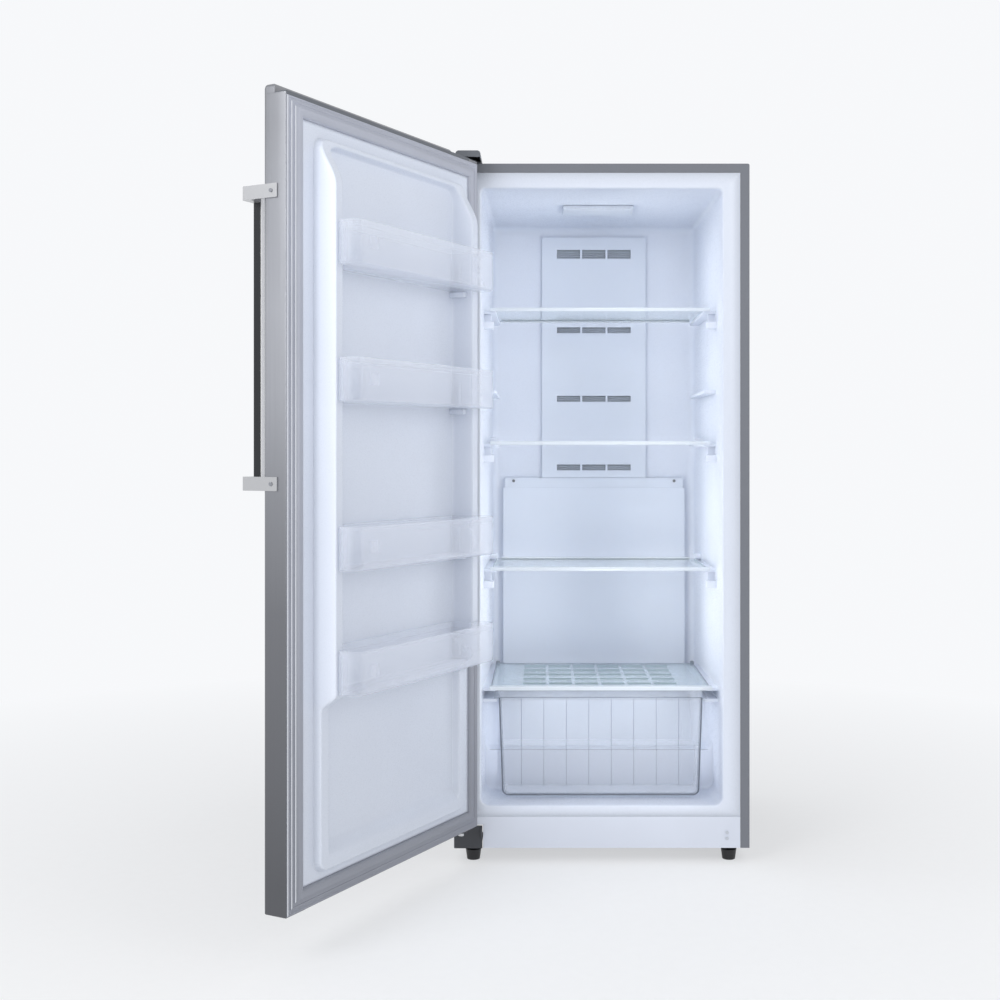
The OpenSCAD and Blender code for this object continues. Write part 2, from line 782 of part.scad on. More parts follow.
module cord_gland() color("#1b1b1c") placed() translate([gland_x, 0, gland_z]) rotate([-90, 0, 0]) {
    difference() {
        union() {
            translate([0, 0, panel_y - 8]) cylinder(r = 9, h = 8 + sheet_t + 0.5);
            translate([0, 0, back_y + seat]) cylinder(r = 13, h = 5);
            translate([0, 0, panel_y - 10]) cylinder(r = 11, h = 3);
        }
        translate([0, 0, panel_y - 12]) cylinder(r = 4.2, h = 30);
    }
}

// Hinges

module bottom_hinge_bracket() color("#3a3d42") placed() {
    x0 = -fit_hw;
    x1 = -foot_x + 23;
    tongue_r = hinge_in - sheet_t - seat - 4;
    difference() {
        union() {
            block(x0, x1, -bracket_t, foot_y + 32, foot_plate_z, foot_plate_z + bracket_t);
            block(x0, x1, -bracket_t, 0, base_z, tongue_z + bracket_t);
            block(hinge_x - tongue_r, hinge_x + tongue_r, hinge_y, -0.5, tongue_z, tongue_z + bracket_t);
            translate([hinge_x, hinge_y, tongue_z]) cylinder(r = tongue_r, h = bracket_t);
            block(x0, x0 + bracket_t, kick_d + seat, foot_y + 32, foot_plate_z,
                  plate_z - sheet_t - seat);
            along_x(x1 - bracket_t, x1) polygon([[0, foot_plate_z], [0, tongue_z], [-16, tongue_z],
                                                 [-16, tongue_z - 8]]);
        }
        translate([-foot_x, foot_y, foot_plate_z - past])
            cylinder(r = foot_screw_r + run, h = bracket_t + 2 * past);
        translate([hinge_x, hinge_y, tongue_z - past]) cylinder(r = pin_r + run, h = bracket_t + 2 * past);
    }
}

module top_hinge_bracket() color("#5b5e63") placed() {
    z0 = cabinet_h + seat;
    tongue_r = hinge_in - sheet_t - seat - 4;
    difference() {
        union() {
            block(hinge_x - tongue_r, hinge_x + 44, -6, 60, z0, z0 + 3);
            block(hinge_x - tongue_r, hinge_x + tongue_r, hinge_y, 0, z0, z0 + 3);
            translate([hinge_x, hinge_y, z0]) cylinder(r = tongue_r, h = 3);
        }
        translate([hinge_x, hinge_y, z0 - past]) cylinder(r = pin_r + run, h = 3 + 2 * past);
        for (p = top_screws) translate([hinge_x + p.x, p.y, z0 - past]) cylinder(r = 3, h = 3 + 2 * past);
    }
}

top_screws = [[0, 16], [34, 16], [17, 46]];

module hinge_pins() color("#c3c6ca") placed() translate([hinge_x, hinge_y, 0]) {
    translate([0, 0, tongue_z - 5]) cylinder(r = pin_r, h = door_z + cap_h - tongue_z + 4);
    translate([0, 0, tongue_z + bracket_t + seat])
        cylinder(r = 9, h = door_z - tongue_z - bracket_t - 2 * seat);
    translate([0, 0, tongue_z - 8]) cylinder(r = 7, h = 8 - seat);
    translate([0, 0, door_top_z - cap_h + 1]) cylinder(r = pin_r, h = cabinet_h - door_top_z + cap_h + 4);
    translate([0, 0, cabinet_h + 3 + 2 * seat]) cylinder(r = 7, h = 3);
}

module top_hinge_cover() color("#4d5055") placed() {
    x0 = -half_w + 7;
    x1 = hinge_x + hinge_cover_reach;
    z0 = cabinet_h + 3 + 2 * seat;
    z1 = cabinet_h + hinge_cover_h;
    y0 = hinge_y - hinge_cover_front;
    y1 = 64;
    along_y(y0, y1) difference() {
        translate([(x0 + x1) / 2, 0]) panel_2d((x1 - x0) / 2, z0, z1, 0.01, 8);
        translate([(x0 + x1) / 2, -past]) panel_2d((x1 - x0) / 2 - 2, z0, z1 - 2 + past, 0.01, 6);
    }
    along_y(y0, y0 + 2) translate([(x0 + x1) / 2, 0]) panel_2d((x1 - x0) / 2, z0, z1, 0.01, 8);
    along_y(y1 - 2, y1) translate([(x0 + x1) / 2, 0]) panel_2d((x1 - x0) / 2, z0, z1, 0.01, 8);
}

module hinge_screws() color("#a9acb0") placed()
    for (p = top_screws) translate([hinge_x + p.x, p.y, 0]) {
        translate([0, 0, cabinet_h + 0.1]) cylinder(r = 2.5, h = 5);
        translate([0, 0, cabinet_h + 3 + seat]) cylinder(r = 5.5, h = 4);
    }

// Feet and rollers

module foot_bracket() color("#6e7176") placed() difference() {
    union() {
        block(foot_x - 23, fit_hw, kick_d + seat, foot_y + 32, foot_plate_z, foot_plate_z + bracket_t);
        block(fit_hw - bracket_t, fit_hw, kick_d + seat, foot_y + 32, foot_plate_z,
              plate_z - sheet_t - seat);
        block(foot_x - 23, foot_x - 20, kick_d + seat, foot_y + 32, foot_plate_z,
              plate_z - sheet_t - seat);
    }
    translate([foot_x, foot_y, foot_plate_z - past])
        cylinder(r = foot_screw_r + run, h = bracket_t + 2 * past);
}

// A levelling foot: a tapered pad on a screw with a lock nut
module front_foot(side) color("#17181a") placed() translate([side * foot_x, foot_y, 0]) {
    cylinder(r1 = foot_r - 3.5, r2 = foot_r, h = foot_h);
    cylinder(r = foot_screw_r, h = foot_plate_z + 14);
    translate([0, 0, foot_plate_z - seat - 6]) cylinder(r = 10, h = 6, $fn = 6);
}

module front_foot_left() front_foot(-1);
module front_foot_right() front_foot(1);

module roller_brackets() color("#7c7f84") placed() both_sides()
    translate([roller_x, roller_y, 0]) difference() {
        union() {
            for (s = [-1, 1])
                translate([s * (roller_slot_w / 2 + 1) - 1, -18, roller_r - 10])
                    cube([2, 36, base_z - seat - roller_r + 10]);
            translate([-roller_slot_w / 2 - 2, -roller_slot_l / 2 - 6, base_z - seat - 2])
                cube([roller_slot_w + 4, roller_slot_l + 12, 2]);
        }
        translate([-roller_slot_w / 2, -roller_slot_l / 2, base_z - 5])
            cube([roller_slot_w, roller_slot_l, 12]);
        translate([-20, 0, roller_r]) rotate([0, 90, 0]) cylinder(r = axle_r + run, h = 40);
    }

module roller_axles() color("#b9bcc0") placed() both_sides()
    translate([roller_x - roller_slot_w / 2 - 5, roller_y, roller_r]) rotate([0, 90, 0]) {
        cylinder(r = axle_r, h = roller_slot_w + 8);
        cylinder(r = axle_r + 2, h = 3 - seat);
    }

module rear_roller(side) color("#d7d8da") placed()
    translate([side * roller_x - roller_w / 2, roller_y, roller_r]) rotate([0, 90, 0]) difference() {
        cylinder(r = roller_r, h = roller_w);
        translate([0, 0, -past]) cylinder(r = axle_r + run, h = roller_w + 2 * past);
    }

module rear_roller_left() rear_roller(-1);
module rear_roller_right() rear_roller(1);

// Air panels and what is behind them

module vent_row(z, h) for (i = [-1, 0, 1])
    block(i * (vent_w + vent_bar) - vent_w / 2, i * (vent_w + vent_bar) + vent_w / 2,
          0, cavity_d, z - h / 2, z + h / 2);

module duct_panel() color("#e0e5ee") placed() {
    y0 = cavity_d - duct_proud;
    difference() {
        along_y(y0, cavity_d - seat) panel_2d(duct_w / 2, duct_z0, duct_z1, 3, 8);
        along_y(y0 + panel_t, cavity_d)
            panel_2d(duct_w / 2 - panel_t, duct_z0 + panel_t, duct_z1 - panel_t, 1, 6);
        for (i = [0 : 2]) vent_row(duct_z0 + vent_rise + i * vent_pitch, vent_h);
        vent_row(duct_z1 - vent_drop, top_vent_h);
    }
}

module evaporator_cover() color("#dde2ec") placed() {
    hw = evap_cover_w / 2;
    difference() {
        union() {
            block(-hw, hw, evap_cover_y, cavity_d - seat, evap_cover_z0, panel_join_z - strip_h);
            block(-hw + strip_in, hw - strip_in, evap_cover_y + strip_step, cavity_d - seat,
                  panel_join_z - strip_h - past, panel_join_z);
        }
        block(-hw + panel_t + strip_in, hw - panel_t - strip_in, evap_cover_y + panel_t + strip_step,
              cavity_d, evap_cover_z0 + panel_t, panel_join_z - panel_t);
        for (i = [-3 : 3])
            block(low_vent_pitch * i - low_vent_w / 2, low_vent_pitch * i + low_vent_w / 2, 0, cavity_d,
                  evap_cover_z0 + low_vent_lift, evap_cover_z0 + low_vent_lift + low_vent_h);
        both_sides() translate([cover_screw_pitch / 2, 0, cover_screw_z])
            rotate([-90, 0, 0]) cylinder(r = 2.2, h = cavity_d);
    }
}

module panel_screw(y) {
    translate([0, y - 2.5, 0]) rotate([-90, 0, 0]) cylinder(r = screw_head_r, h = 2.5 - run);
    translate([0, y - 1, 0]) rotate([-90, 0, 0]) cylinder(r = 2, h = 7);
}

module panel_screws() color("#8e939c") placed() {
    both_sides() translate([cover_screw_pitch / 2, 0, cover_screw_z])
        panel_screw(evap_cover_y + strip_step);
    for (drop = kick_screw_drop) translate([kick_screw_x, 0, kick_top - drop]) panel_screw(0);
}

module evaporator() color("#c8cbd0") placed() {
    both_sides() block(evap_hw - 2, evap_hw, evap_y0, pocket_y - seat, evap_z0 - 30, evap_z1);
    for (i = [0 : 3], k = [0, 1])
        translate([-evap_hw, evap_y0 + 14 + evap_tube_gap * k, evap_z0 + 30 + evap_tube_pitch * i])
            rotate([0, 90, 0]) cylinder(r = 4, h = 2 * evap_hw);
    for (i = [-5 : 5])
        block(fin_pitch * i - 0.5, fin_pitch * i + 0.5, evap_y0, evap_y1, evap_z0, evap_z1 - 5);
}

module defrost_heater() color("#77797c") placed()
    translate([-evap_hw + 2 + seat, (evap_y0 + evap_y1) / 2, evap_z0 - 16])
        rotate([0, 90, 0]) cylinder(r = 5, h = 2 * (evap_hw - 2 - seat));

module evaporator_fan_frame() color("#e8e9ea") placed()
    translate([0, evap_fan_y + 18, evap_fan_z]) {
        fan_frame(evap_fan_r, 2 * (evap_fan_r + fan_margin), evap_motor_l);
        for (x = [-1, 1], z = [-1, 1])
            translate([x * (evap_fan_r + 8), 0, z * (evap_fan_r + 8)]) rotate([-90, 0, 0])
                cylinder(r = 5, h = pocket_y - seat - evap_fan_y - 18);
    }

module evaporator_fan_blade() color("#c2c4c6") placed()
    translate([0, evap_fan_y + 10, evap_fan_z]) fan_blade(evap_fan_r);

module lamp_lens() color("#f4f6fa") placed() intersection() {
    cavity_form(-seat);
    block(-lamp_w / 2, lamp_w / 2, lamp_y, lamp_y + lamp_d, cavity_top - lamp_h, cavity_top + 10);
}

// Shelves and drawer

module shelf_glass(z) color("#cfe0e6") placed()
    block(-glass_hw, glass_hw, shelf_inset + 3, shelf_inset + shelf_d - 3,
          z - glass_drop - glass_t, z - glass_drop);

// The front bar and the back bar, each with a groove for the glass
module shelf_trim(z) color("#eef2f7") placed() difference() {
    union() {
        along_x(-shelf_hw, shelf_hw) polygon([
            [shelf_inset, z - trim_h + 4], [shelf_inset + 3, z - trim_h],
            [shelf_inset + trim_d, z - trim_h + 2], [shelf_inset + trim_d, z],
            [shelf_inset + 2, z], [shelf_inset, z - 2]
        ]);
        block(-rear_trim_hw, rear_trim_hw, shelf_inset + shelf_d - rear_trim_d, shelf_inset + shelf_d,
              z - glass_drop - glass_t - 3, z + 2);
    }
    block(-glass_hw - run, glass_hw + run, shelf_inset + 3 - run, shelf_inset + shelf_d - 3 + run,
          z - glass_drop - glass_t - run, z - glass_drop + run);
}

module shelf_glass_1() shelf_glass(shelf_z[0]);
module shelf_glass_2() shelf_glass(shelf_z[1]);
module shelf_glass_3() shelf_glass(shelf_z[2]);
module shelf_trim_1() shelf_trim(shelf_z[0]);
module shelf_trim_2() shelf_trim(shelf_z[1]);
module shelf_trim_3() shelf_trim(shelf_z[2]);

module drawer_cover() color("#c8dfea") placed() difference() {
    block(-glass_hw, glass_hw, cover_inset + 3, cover_inset + cover_d, cover_z - glass_t, cover_z);
    for (i = [0 : slot_cols - 1], k = [0 : slot_rows - 1])
        translate([(i - (slot_cols - 1) / 2) * slot_pitch_x - slot_w / 2,
                   cover_inset + 44 + k * slot_pitch_y, cover_z - glass_t - past])
            cube([slot_w, slot_d, glass_t + 2 * past]);
}

module drawer_cover_trim() color("#f1f4f8") placed() difference() {
    along_x(-shelf_hw, shelf_hw) polygon([
        [cover_inset, cover_z - 8], [cover_inset + trim_d, cover_z - 8],
        [cover_inset + trim_d, cover_z + 1.5], [cover_inset + 2, cover_z + 1.5], [cover_inset, cover_z]
    ]);
    block(-glass_hw - run, glass_hw + run, cover_inset + 3 - run, cover_inset + trim_d + past,
          cover_z - glass_t - run, cover_z + run);
}

// The drawer's outer form with its walls moved in by t, open at the top
module drawer_form(t) {
    y0 = drawer_inset + t;
    y1 = drawer_inset + drawer_d - t;
    z0 = drawer_z0 + t;
    z1 = t > 0 ? drawer_z1 + past : drawer_z1;
    top = drawer_hw - t;
    low = drawer_hw - drawer_taper - t;
    r = drawer_r - t;
    intersection() {
        along_y(y0, y1) {
            polygon([[-low + r, z0], [low - r, z0], [low, z0 + r], [top, drawer_z1], [top, z1],
                     [-top, z1], [-top, drawer_z1], [-low, z0 + r]]);
            for (s = [-1, 1]) translate([s * (low - r), z0 + r]) circle(r = r);
        }
        along_x(-half_w, half_w) polygon([
            [y0, z0], [step_front - drawer_clear - t, z0],
            [step_front - drawer_clear - t, step_z + drawer_clear + t],
            [step_back - 6 - t / 2, step_z + drawer_clear + t],
            [slope_back - 8 - t / 2, hump_z + drawer_clear + t], [y1, hump_z + drawer_clear + t],
            [y1, z1], [y0, z1]
        ]);
    }
}

module crisper_drawer() color("#d4dfec") placed() {
    difference() {
        drawer_form(0);
        drawer_form(drawer_t);
    }
    both_sides() block(drawer_hw - 1.5, runner_hw, drawer_inset + 14, drawer_inset + drawer_d - 4,
                       runner_z, runner_z + 4);
    block(-drawer_hw, drawer_hw, drawer_inset - 5, drawer_inset + 1, drawer_z1 - 16, drawer_z1);
    for (x = [-3.5 : 1 : 3.5])
        block(x * rib_pitch - 1.5, x * rib_pitch + 1.5, drawer_inset - 1.2, drawer_inset + 1,
              drawer_z0 + 6, drawer_z1 - 10);
}

// Door, drawn closed and swung open by on_door

// Points along an arc about c from angle a0 to a1, leaving out a number of them at each end
function arc(c, r, a0, a1, n, left_out = 0) = [
    for (i = [left_out : n - left_out])
        c + r * [cos(a0 + (a1 - a0) * i / n), sin(a0 + (a1 - a0) * i / n)]
];

// The door's outline seen from above with its walls moved in by t
module door_outline(t) {
    tilt = asin(knee_x / (crown_r - door_edge_r));
    back = door_back - t;
    polygon(concat(
        arc([0, crown_y], crown_r - t, -90 - tilt, -90 + tilt, crown_steps, 1),
        arc([knee_x, knee_y], door_edge_r - t, -90 + tilt, 0, edge_steps),
        [[door_w / 2 - t, back], [-door_w / 2 + t, back]],
        arc([-knee_x, knee_y], door_edge_r - t, 180, 270 - tilt, edge_steps)
    ));
}

module door_column(t, z0, z1) translate([0, 0, z0]) linear_extrude(z1 - z0) door_outline(t);

module display_cut(gap)
    block(-display_w / 2 - gap, display_w / 2 + gap, display_front - past, display_front + display_t + gap,
          display_z0 - gap, display_top_z + gap);

module door_skin() color("#8d9097") on_door() difference() {
    door_column(0, door_z + cap_h, door_top_z - cap_h);
    door_column(sheet_t, door_z, door_top_z);
    block(-door_w / 2 + door_flange_w, door_w / 2 - door_flange_w, door_back - 2 * sheet_t, door_back + past,
          door_z, door_top_z);
    display_cut(skin_gap);
}

// The lip stands in front of the hinge's cover and ends clear of the circle that the cover needs
module door_lip() intersection() {
    door_column(0, door_top_z - past, door_top_z + lip_h);
    along_x(lip_x0, door_w / 2) difference() {
        translate([door_front - crown - past, door_top_z - past])
            square([crown + lip_d + past, lip_h + past]);
        translate([door_front + lip_d - lip_r, door_top_z + lip_h - lip_r]) difference() {
            square([lip_r + past, lip_r + past]);
            circle(r = lip_r);
        }
    }
}

module door_end_caps() color("#7d8088") on_door() difference() {
    union() {
        door_column(0, door_z, door_z + cap_h - skin_gap);
        door_column(0, door_top_z - cap_h + skin_gap, door_top_z);
        door_lip();
    }
    translate([hinge_x, hinge_y, 0]) {
        translate([0, 0, door_z - past]) cylinder(r = pin_r + 4, h = cap_h + 2 * past);
        translate([0, 0, door_top_z - cap_h - past]) cylinder(r = pin_r + 4, h = cap_h + 2 * past);
    }
}

module door_hinge_bushes() color("#e9e9e6") on_door() translate([hinge_x, hinge_y, 0])
    for (z = [door_z, door_top_z - cap_h + skin_gap]) translate([0, 0, z]) difference() {
        cylinder(r = pin_r + 4 - run, h = cap_h - skin_gap);
        translate([0, 0, -past]) cylinder(r = pin_r + run, h = cap_h + 2 * past);
    }

// The raised rim and ridges of the door's liner with their walls moved in by t
module dam_form(t) {
    y0 = door_back - past;
    low = door_back + rim_h - t;
    high = door_back + ridge_h - t;
    rise = ridge_h - rim_h;
    bend0 = t * tan(22.5);
    bend1 = t * tan(atan(rise / ridge_slope) / 2);
    along_y(y0, low) difference() {
        panel_2d(rim_hw - t, rim_z0 + t, rim_z1 - t, rim_r - t, rim_r - t);
        panel_2d(rim_inner_hw + t, rim_z0 + 25 - t, rim_z1 - 20 + t, 4, 4);
    }
    both_sides() along_x(rim_inner_hw + t, rim_hw - t) polygon([
        [y0, ridge_z0 + bend0], [low, ridge_z0 + bend0], [high, ridge_z0 + rise + bend0],
        [high, ridge_z1 - ridge_slope - bend1], [low, ridge_z1 - bend1], [y0, ridge_z1 - bend1]
    ]);
}

module door_liner() color("#e6ebf4") on_door() {
    difference() {
        union() {
            along_y(door_back, door_back + liner_t)
                panel_2d(door_liner_hw - seat, door_liner_z0 + seat, door_liner_z1 - seat, 6, 6);
            intersection() {
                dam_form(0);
                block(-door_w, door_w, door_back, cavity_d, 0, cabinet_h);
            }
        }
        dam_form(liner_t);
    }
    along_x(-rim_inner_hw, rim_inner_hw) polygon([
        [door_back + 1, rim_z0 + 24], [door_back + rim_h, rim_z0 + 24], [door_back + rim_h, rim_z0 + 26],
        [door_back + liner_t, rim_z0 + 44], [door_back + 1, rim_z0 + 44]
    ]);
    both_sides() for (z = bin_z)
        block(bin_inner_hw - 7, rim_inner_hw + 1, door_back + 1, door_back + 40, z - seat - 12, z - seat);
}

module door_foam() color("#e6d9a8") on_door() difference() {
    union() {
        door_column(sheet_t + skin_gap, door_z + cap_h + skin_gap, door_top_z - cap_h - skin_gap);
        block(-door_w / 2 + door_flange_w + skin_gap, door_w / 2 - door_flange_w - skin_gap,
              door_back - 2 * sheet_t, door_back - skin_gap,
              door_z + cap_h + skin_gap, door_top_z - cap_h - skin_gap);
        dam_form(liner_t + skin_gap);
    }
    display_cut(2 * skin_gap);
}

module gasket_ring(in, w, y0, y1) along_y(y0, y1) difference() {
    translate([-door_w / 2 + in, door_z + in]) square([door_w - 2 * in, door_top_z - door_z - 2 * in]);
    translate([-door_w / 2 + in + w, door_z + in + w])
        square([door_w - 2 * (in + w), door_top_z - door_z - 2 * (in + w)]);
}

module door_gasket() color("#a4abb8") on_door() {
    gasket_ring(gasket_in, gasket_w, door_back, door_back + 2.5);
    gasket_ring(gasket_in + 3, 3, door_back + 2, gasket_face - 2);
    gasket_ring(gasket_in + gasket_w - 7, 3, door_back + 2, gasket_face - 2);
    gasket_ring(gasket_in, gasket_w, gasket_face - 2.5, gasket_face);
}

// Handle and display

module handle_bar() color("#a6a6a4") on_door()
    translate([handle_x, handle_y, handle_z0]) linear_extrude(handle_l) {
        r = 3;
        s = handle_s;
        translate([-s / 2 + r, -s / 2]) square([s - 2 * r, s]);
        translate([-s / 2, -s / 2 + r]) square([s, s - 2 * r]);
        for (x = [-1, 1], y = [-1, 1]) translate([x * (s / 2 - r), y * (s / 2 - r)]) circle(r = r);
    }

module handle_brackets() color("#b0b0ae") on_door() {
    x0 = handle_x + handle_s / 2 + run;
    x1 = door_w / 2 + seat;
    for (z = [handle_z0 + mount_in, handle_top_z - mount_in - mount_h]) difference() {
        translate([0, 0, z]) linear_extrude(mount_h) polygon([
            [x1, door_front + mount_back], [x1 + mount_t, door_front + mount_back],
            [x1 + mount_t, handle_y - handle_s / 2 + 3], [x1 + mount_t - 3, handle_y - handle_s / 2],
            [x0, handle_y - handle_s / 2], [x0, handle_y + handle_s / 2], [x1, handle_y + handle_s / 2]
        ]);
        translate([x1 - past, door_front + mount_back - 14, z + mount_h / 2])
            rotate([0, 90, 0]) cylinder(r = 2.5, h = 10);
    }
}

module handle_screws() color("#6f7378") on_door()
    for (z = [handle_z0 + mount_in, handle_top_z - mount_in - mount_h])
        translate([door_w / 2 + seat, door_front + mount_back - 14, z + mount_h / 2])
            rotate([0, 90, 0]) {
                translate([0, 0, mount_t + run]) cylinder(r = 4, h = 2);
                translate([0, 0, -0.2]) cylinder(r = 2.3, h = mount_t + 1);
            }

module display_window() color("#101216") on_door()
    block(-display_w / 2, display_w / 2, display_front, display_front + display_t, display_z0, display_top_z);

// A bin's outline seen from above with its walls moved in by t
module bin_plan(t) {
    r = bin_r - t;
    translate([-bin_inner_hw + t, bin_back + t])
        square([2 * (bin_inner_hw - t), bin_front - bin_back - 2 * t]);
    translate([-bin_hw + t, bin_seat + t]) square([2 * (bin_hw - t), bin_front - bin_seat - 2 * t - r]);
    translate([-bin_hw + t + r, bin_seat + t]) square([2 * (bin_hw - t - r), bin_front - bin_seat - 2 * t]);
    for (s = [-1, 1]) translate([s * (bin_hw - t - r), bin_front - t - r]) circle(r = r);
}

module door_bin(z) color("#d9e4ee") on_door() translate([0, 0, z]) difference() {
    linear_extrude(bin_h) bin_plan(0);
    translate([0, 0, bin_t]) linear_extrude(bin_h) bin_plan(bin_t);
}

module door_bin_1() door_bin(bin_z[0]);
module door_bin_2() door_bin(bin_z[1]);
module door_bin_3() door_bin(bin_z[2]);
module door_bin_4() door_bin(bin_z[3]);

cabinet_shell();
rear_panel();
bottom_plate();
inner_liner();
insulation_foam();
kick_panel();
machine_base();
compressor();
compressor_mounts();
condenser_coil();
condenser_fan_frame();
condenser_fan_blade();
drip_pan();
refrigerant_tubes();
control_box();
cord_gland();
machine_cover();
bottom_hinge_bracket();
top_hinge_bracket();
hinge_pins();
top_hinge_cover();
hinge_screws();
foot_bracket();
roller_brackets();
roller_axles();
front_foot_left();
front_foot_right();
rear_roller_left();
rear_roller_right();
duct_panel();
evaporator_cover();
panel_screws();
evaporator();
evaporator_fan_frame();
evaporator_fan_blade();
defrost_heater();
lamp_lens();
shelf_glass_1();
shelf_trim_1();
shelf_glass_2();
shelf_trim_2();
shelf_glass_3();
shelf_trim_3();
drawer_cover();
drawer_cover_trim();
crisper_drawer();
door_skin();
door_end_caps();
door_liner();
door_foam();
door_gasket();
door_hinge_bushes();
handle_bar();
handle_brackets();
handle_screws();
display_window();
door_bin_1();
door_bin_2();
door_bin_3();
door_bin_4();
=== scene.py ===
import json
import math
import bmesh
import bpy
from mathutils import Matrix, Vector


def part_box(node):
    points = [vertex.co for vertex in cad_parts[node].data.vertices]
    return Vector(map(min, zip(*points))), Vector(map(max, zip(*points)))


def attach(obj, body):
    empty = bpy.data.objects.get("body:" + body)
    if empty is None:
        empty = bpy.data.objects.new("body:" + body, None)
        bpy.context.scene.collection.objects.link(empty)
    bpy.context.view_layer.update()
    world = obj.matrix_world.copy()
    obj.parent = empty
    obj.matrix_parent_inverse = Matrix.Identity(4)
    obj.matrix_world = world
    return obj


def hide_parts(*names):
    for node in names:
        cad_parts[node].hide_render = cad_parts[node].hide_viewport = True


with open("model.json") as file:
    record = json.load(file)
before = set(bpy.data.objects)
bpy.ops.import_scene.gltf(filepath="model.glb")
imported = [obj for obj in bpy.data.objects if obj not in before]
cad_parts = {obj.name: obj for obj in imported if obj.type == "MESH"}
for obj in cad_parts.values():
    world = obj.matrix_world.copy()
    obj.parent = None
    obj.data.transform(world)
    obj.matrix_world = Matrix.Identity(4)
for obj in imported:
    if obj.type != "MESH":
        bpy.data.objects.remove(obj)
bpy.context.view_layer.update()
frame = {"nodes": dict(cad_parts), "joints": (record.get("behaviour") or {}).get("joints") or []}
nodes = frame["nodes"]
scene = bpy.context.scene
print("frame loaded:", len(nodes), "nodes")

# where the cabinet's middle, its front and the door's hinge are in the frame, and the stored door's turn
shellLow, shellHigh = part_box("cabinet_shell")
middleX = (shellLow.x + shellHigh.x) / 2
frontY = shellLow.y
swing = [j for j in frame["joints"] if j["name"] == "door_swing"][0]
hingeAt = Vector(swing["pos_m"])
restTurn = -math.radians(swing["range_deg"][0]) * swing["axis"][2]
doorTurn = Matrix.Rotation(restTurn, 3, "Z")


def inCabinet(x, y, z):
    # millimetres from the cabinet's middle, front and floor
    return Vector((middleX + x / 1000, frontY + y / 1000, z / 1000))


def onDoor(x, y, z):
    # the same, for a piece drawn on the closed door
    closed = inCabinet(x, y, z)
    flat = Vector((closed.x - hingeAt.x, closed.y - hingeAt.y, 0))
    flat.rotate(doorTurn)
    return Vector((hingeAt.x + flat.x, hingeAt.y + flat.y, closed.z))


# shapes, as lists of points and faces in millimetres

def joined(*forms):
    points, faces = [], []
    for formPoints, formFaces in forms:
        start = len(points)
        points += formPoints
        faces += [[start + i for i in face] for face in formFaces]
    return points, faces


def softBox(x0, x1, y0, y1, z0, z1, radius=1.0, steps=2):
    block = bmesh.new()
    bmesh.ops.create_cube(block, size=1)
    for v in block.verts:
        v.co = Vector((x0 if v.co.x < 0 else x1, y0 if v.co.y < 0 else y1, z0 if v.co.z < 0 else z1))
    if radius > 0:
        bmesh.ops.bevel(block, geom=block.edges[:], offset=radius, segments=steps, profile=0.5,
                        affect="EDGES")
    block.verts.index_update()
    form = ([tuple(v.co) for v in block.verts], [[v.index for v in f.verts] for f in block.faces])
    block.free()
    return form


def loft(rings, capFirst=True, capLast=True):
    count = len(rings[0])
    points = [p for ring in rings for p in ring]
    faces = []
    for k in range(len(rings) - 1):
        for i in range(count):
            j = (i + 1) % count
            faces.append([k * count + i, k * count + j, (k + 1) * count + j, (k + 1) * count + i])
    if capFirst:
        faces.append(list(range(count))[::-1])
    if capLast:
        faces.append([(len(rings) - 1) * count + i for i in range(count)])
    return points, faces


def roundedLoop(corners, radii, steps=6):
    # a closed outline through the corners, each one rounded by its own radius
    loop = []
    count = len(corners)
    for i in range(count):
        here = Vector(corners[i])
        before = (Vector(corners[i - 1]) - here).normalized()
        after = (Vector(corners[(i + 1) % count]) - here).normalized()
        radius = radii[i]
        half = before.angle(after) / 2
        reach = radius / math.tan(half)
        start, end = here + before * reach, here + after * reach
        centre = here + (before + after).normalized() * (radius / math.sin(half))
        for k in range(steps + 1):
            mid = start.lerp(end, k / steps) - centre
            loop.append(tuple(centre + mid.normalized() * radius))
    return loop


def inset(loop, distance):
    # moves a closed outline inwards (the outline runs anticlockwise)
    moved = []
    for i in range(len(loop)):
        a, b, c = Vector(loop[i - 1]), Vector(loop[i]), Vector(loop[(i + 1) % len(loop)])
        first, second = b - a, c - b
        if first.length < 1e-6:
            first = second
        if second.length < 1e-6:
            second = first
        n1 = Vector((-first.y, first.x)).normalized()
        n2 = Vector((-second.y, second.x)).normalized()
        n = (n1 + n2).normalized()
        moved.append(tuple(b + n * (distance / max(0.4, n.dot(n1)))))
    return moved


def doorway(halfWidth, z0, z1, lowRadius, highRadius, y, steps=8):
    # a rounded rectangle standing at depth y
    loop = roundedLoop([(-halfWidth, z0), (halfWidth, z0), (halfWidth, z1), (-halfWidth, z1)],
                       [lowRadius, lowRadius, highRadius, highRadius], steps)
    return [(u, y, v) for u, v in loop]


def onSide(side, inner, outer):
    # the span from inner to outer on the right side (1), or mirrored on the left (-1)
    return (inner, outer) if side > 0 else (-outer, -inner)


def bothHalves(right):
    # the mirrored left half of a line, then its right half
    return [(-x, y) for x, y in right[:0:-1]] + right


def easeIn(value):
    t = min(1.0, max(0.0, value))
    return t * t * (3 - 2 * t)


samePlace = 1e-6  # metres between points that are made one


